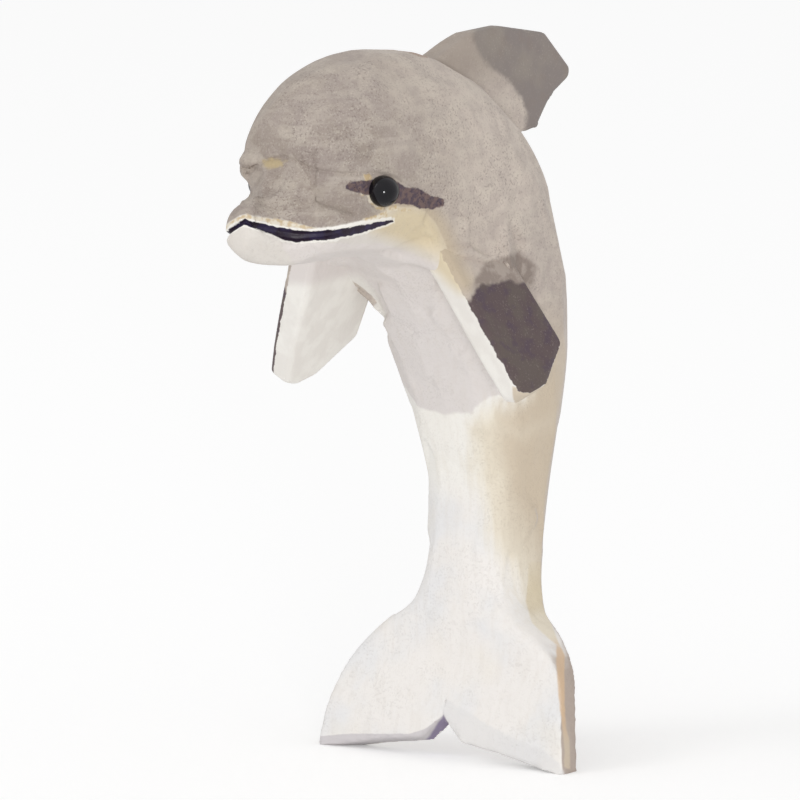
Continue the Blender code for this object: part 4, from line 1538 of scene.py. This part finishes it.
@dataclass
class BeadEyes:
    """The two glossy black glass beads."""

    rings: int = 32
    segments: int = 48

    def build(self) -> list[bpy.types.Object]:
        """Make both eyes."""
        material = self.glass()
        return [self.build_bead(side, material) for side in Side]

    def build_bead(self, side: Side, material: bpy.types.Material) -> bpy.types.Object:
        """Make one bead where its node is.

        Args:
            side: Which eye it is.
            material: Its glass.

        Returns:
            The bead.
        """
        node = f"eye_{side.word}"
        low, high = (Vector(corner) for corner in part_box(node))
        mesh = bpy.data.meshes.new(f"bead_{node}")
        with open_mesh(mesh) as shape:
            bmesh.ops.create_uvsphere(
                shape, u_segments=self.segments, v_segments=self.rings, radius=(high.z - low.z) / 2,
                matrix=Matrix.Translation((low + high) / 2),
            )
        mesh.shade_smooth()
        mesh.materials.append(material)
        bead = put_in_scene(mesh.name, mesh)
        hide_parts(node)
        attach(bead, ROOT_BODY)
        return bead

    @staticmethod
    def glass() -> bpy.types.Material:
        """Write the black glass, with dust that dulls it a little in places.

        Returns:
            The material.
        """
        material, graph, shader = new_material("black bead glass")
        dust = graph.ramp(graph.noise(900.0, 3.0), 0.5, 0.75, 0.03, 0.1)
        tone = graph.fade(graph.noise(500.0, 2.0), 0.45, 0.7, (0.0035, 0.003, 0.005), (0.008, 0.006, 0.009))
        graph.feed(shader, {"Roughness": dust, "Base Color": tone, "Specular IOR Level": 0.28})
        return material


class HiddenPins:
    """The bamboo pins and steel wires inside the wood, which keep their frame shapes."""

    @staticmethod
    def bamboo() -> bpy.types.Material:
        """Write split bamboo with its long fibres.

        Returns:
            The material.
        """
        material, graph, shader = new_material("split bamboo")
        place = graph.along("MULTIPLY", graph.object_place(), (1600.0, 1600.0, 160.0)).outputs[0]
        fibre = graph.noise(1.0, 3.0, place)
        colour = graph.fade(fibre, 0.35, 0.65, from_screen(186, 150, 96), from_screen(226, 198, 142))
        bump = graph.node("ShaderNodeBump", {"Height": fibre, "Distance": 0.05 * MM})
        graph.feed(shader, {"Base Color": colour, "Normal": bump.outputs[0], "Roughness": 0.6})
        return material

    @staticmethod
    def steel() -> bpy.types.Material:
        """Write drawn steel wire with fine scratches.

        Returns:
            The material.
        """
        material, graph, shader = new_material("drawn steel wire")
        rough = graph.ramp(graph.noise(4000.0, 2.0), 0.3, 0.7, 0.25, 0.42)
        graph.feed(shader, {"Roughness": rough, "Base Color": (0.45, 0.45, 0.46, 1.0), "Metallic": 1.0})
        return material

    def dress(self) -> None:
        """Give each hidden pin its finish."""
        bamboo = self.bamboo()
        steel = self.steel()
        for name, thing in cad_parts.items():
            if "_pin_" in name:
                finish = steel if name.startswith("eye") else bamboo
                thing.data.materials.clear()
                thing.data.materials.append(finish)


@dataclass
class Studio:
    """A plain pale floor, a white surround and soft lights."""

    floor_half: float = 3.0
    floor_glow: float = 0.22
    world_strength: float = 0.78
    key_place: tuple[float, float, float] = (1.25, -1.29, 0.12)
    key_size: float = 0.3
    key_power: float = 10.8
    fill_place: tuple[float, float, float] = (-1.0, -1.1, 1.3)
    fill_size: float = 0.8
    fill_power: float = 3.5
    aim: tuple[float, float, float] = (0.0, 0.0, 0.06)

    def build(self) -> None:
        """Make the floor, the world and the lamps."""
        self.build_floor()
        self.build_world()
        self.lamp("key_lamp", self.key_place, self.key_size, self.key_power)
        self.lamp("fill_lamp", self.fill_place, self.fill_size, self.fill_power)
        bpy.context.scene.view_settings.view_transform = "Standard"

    @staticmethod
    def unlit_rays(graph: Graph) -> bpy.types.NodeSocket:
        """Tell the rays that show the studio from those that light the carving.

        Args:
            graph: The nodes to write into.

        Returns:
            1 for a ray from the camera or one that glass or gloss turns, and 0 for the others.
        """
        path = graph.node("ShaderNodeLightPath").outputs
        seen = graph.math("MAXIMUM", path["Is Camera Ray"], path["Is Glossy Ray"])
        return graph.math("MAXIMUM", seen, path["Is Transmission Ray"])

    def build_floor(self) -> None:
        """Lay the floor that the carving stands on."""
        mesh = bpy.data.meshes.new("pale_floor")
        with open_mesh(mesh) as shape:
            bmesh.ops.create_grid(shape, x_segments=1, y_segments=1, size=self.floor_half)
        material, graph, shader = new_material("pale floor")
        graph.feed(shader, {
            "Base Color": (0.9, 0.9, 0.9, 1.0), "Roughness": 0.9, "Specular IOR Level": 0.0,
            "Emission Strength": graph.times(self.unlit_rays(graph), self.floor_glow),
            "Emission Color": WHITE_LIGHT,
        })
        mesh.materials.append(material)
        put_in_scene("pale_floor", mesh)

    def build_world(self) -> None:
        """Light everything softly from all round, with white behind the carving."""
        world = bpy.data.worlds.new("soft_room")
        world.use_nodes = True
        bpy.context.scene.world = world
        graph = Graph(world.node_tree)
        feeds = {0: self.unlit_rays(graph), 2: self.world_strength, 3: 1.0}
        strength = graph.node("ShaderNodeMix", feeds).outputs[0]
        graph.feed(world.node_tree.nodes["Background"], {"Strength": strength, "Color": WHITE_LIGHT})

    def lamp(self, name: str, place: tuple[float, float, float], size: float, power: float) -> None:
        """Hang a soft lamp that faces the carving.

        Args:
            name: The lamp's name.
            place: Where it hangs, in metres.
            size: The side of its square face.
            power: Its power in watts.
        """
        light = bpy.data.lights.new(name, "AREA")
        light.size = size
        light.energy = power
        lamp = put_in_scene(name, light)
        lamp.location = place
        towards = Vector(self.aim) - lamp.location
        lamp.rotation_euler = towards.to_track_quat("-Z", "Y").to_euler()


def main() -> None:
    """Dress the carving and set up its studio."""
    logging.basicConfig(level=logging.INFO, format="%(message)s")
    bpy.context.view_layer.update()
    PHOTO.place_camera()
    effects = PaintEffects()
    facets = KnifeFacets()
    body = CarvedBody(effects, facets).build()
    LOG.info("%s: %d faces", body.name, len(body.data.polygons))
    dorsal = CarvedFin(
        "dorsal_fin", "carved_dorsal_fin", "dorsal_fin_paint", paint_dorsal(effects), facets, seed=3)
    pieces = [dorsal.build()]
    brown = paint_pectoral(effects)
    for side in Side:
        fin = CarvedFin(
            f"pectoral_fin_{side.word}", f"carved_pectoral_fin_{side.word}", "pectoral_fin_paint", brown,
            facets, 11 + side.value, outer=(side.value, 0.0, 0.3), wrap=0.45 if side is Side.RIGHT else 0.0,
        )
        pieces.append(fin.build())
    pieces.extend(BeadEyes().build())
    HiddenPins().dress()
    Studio().build()
    for piece in pieces:
        LOG.info("%s: %d faces", piece.name, len(piece.data.polygons))


if __name__ == "__main__":
    main()
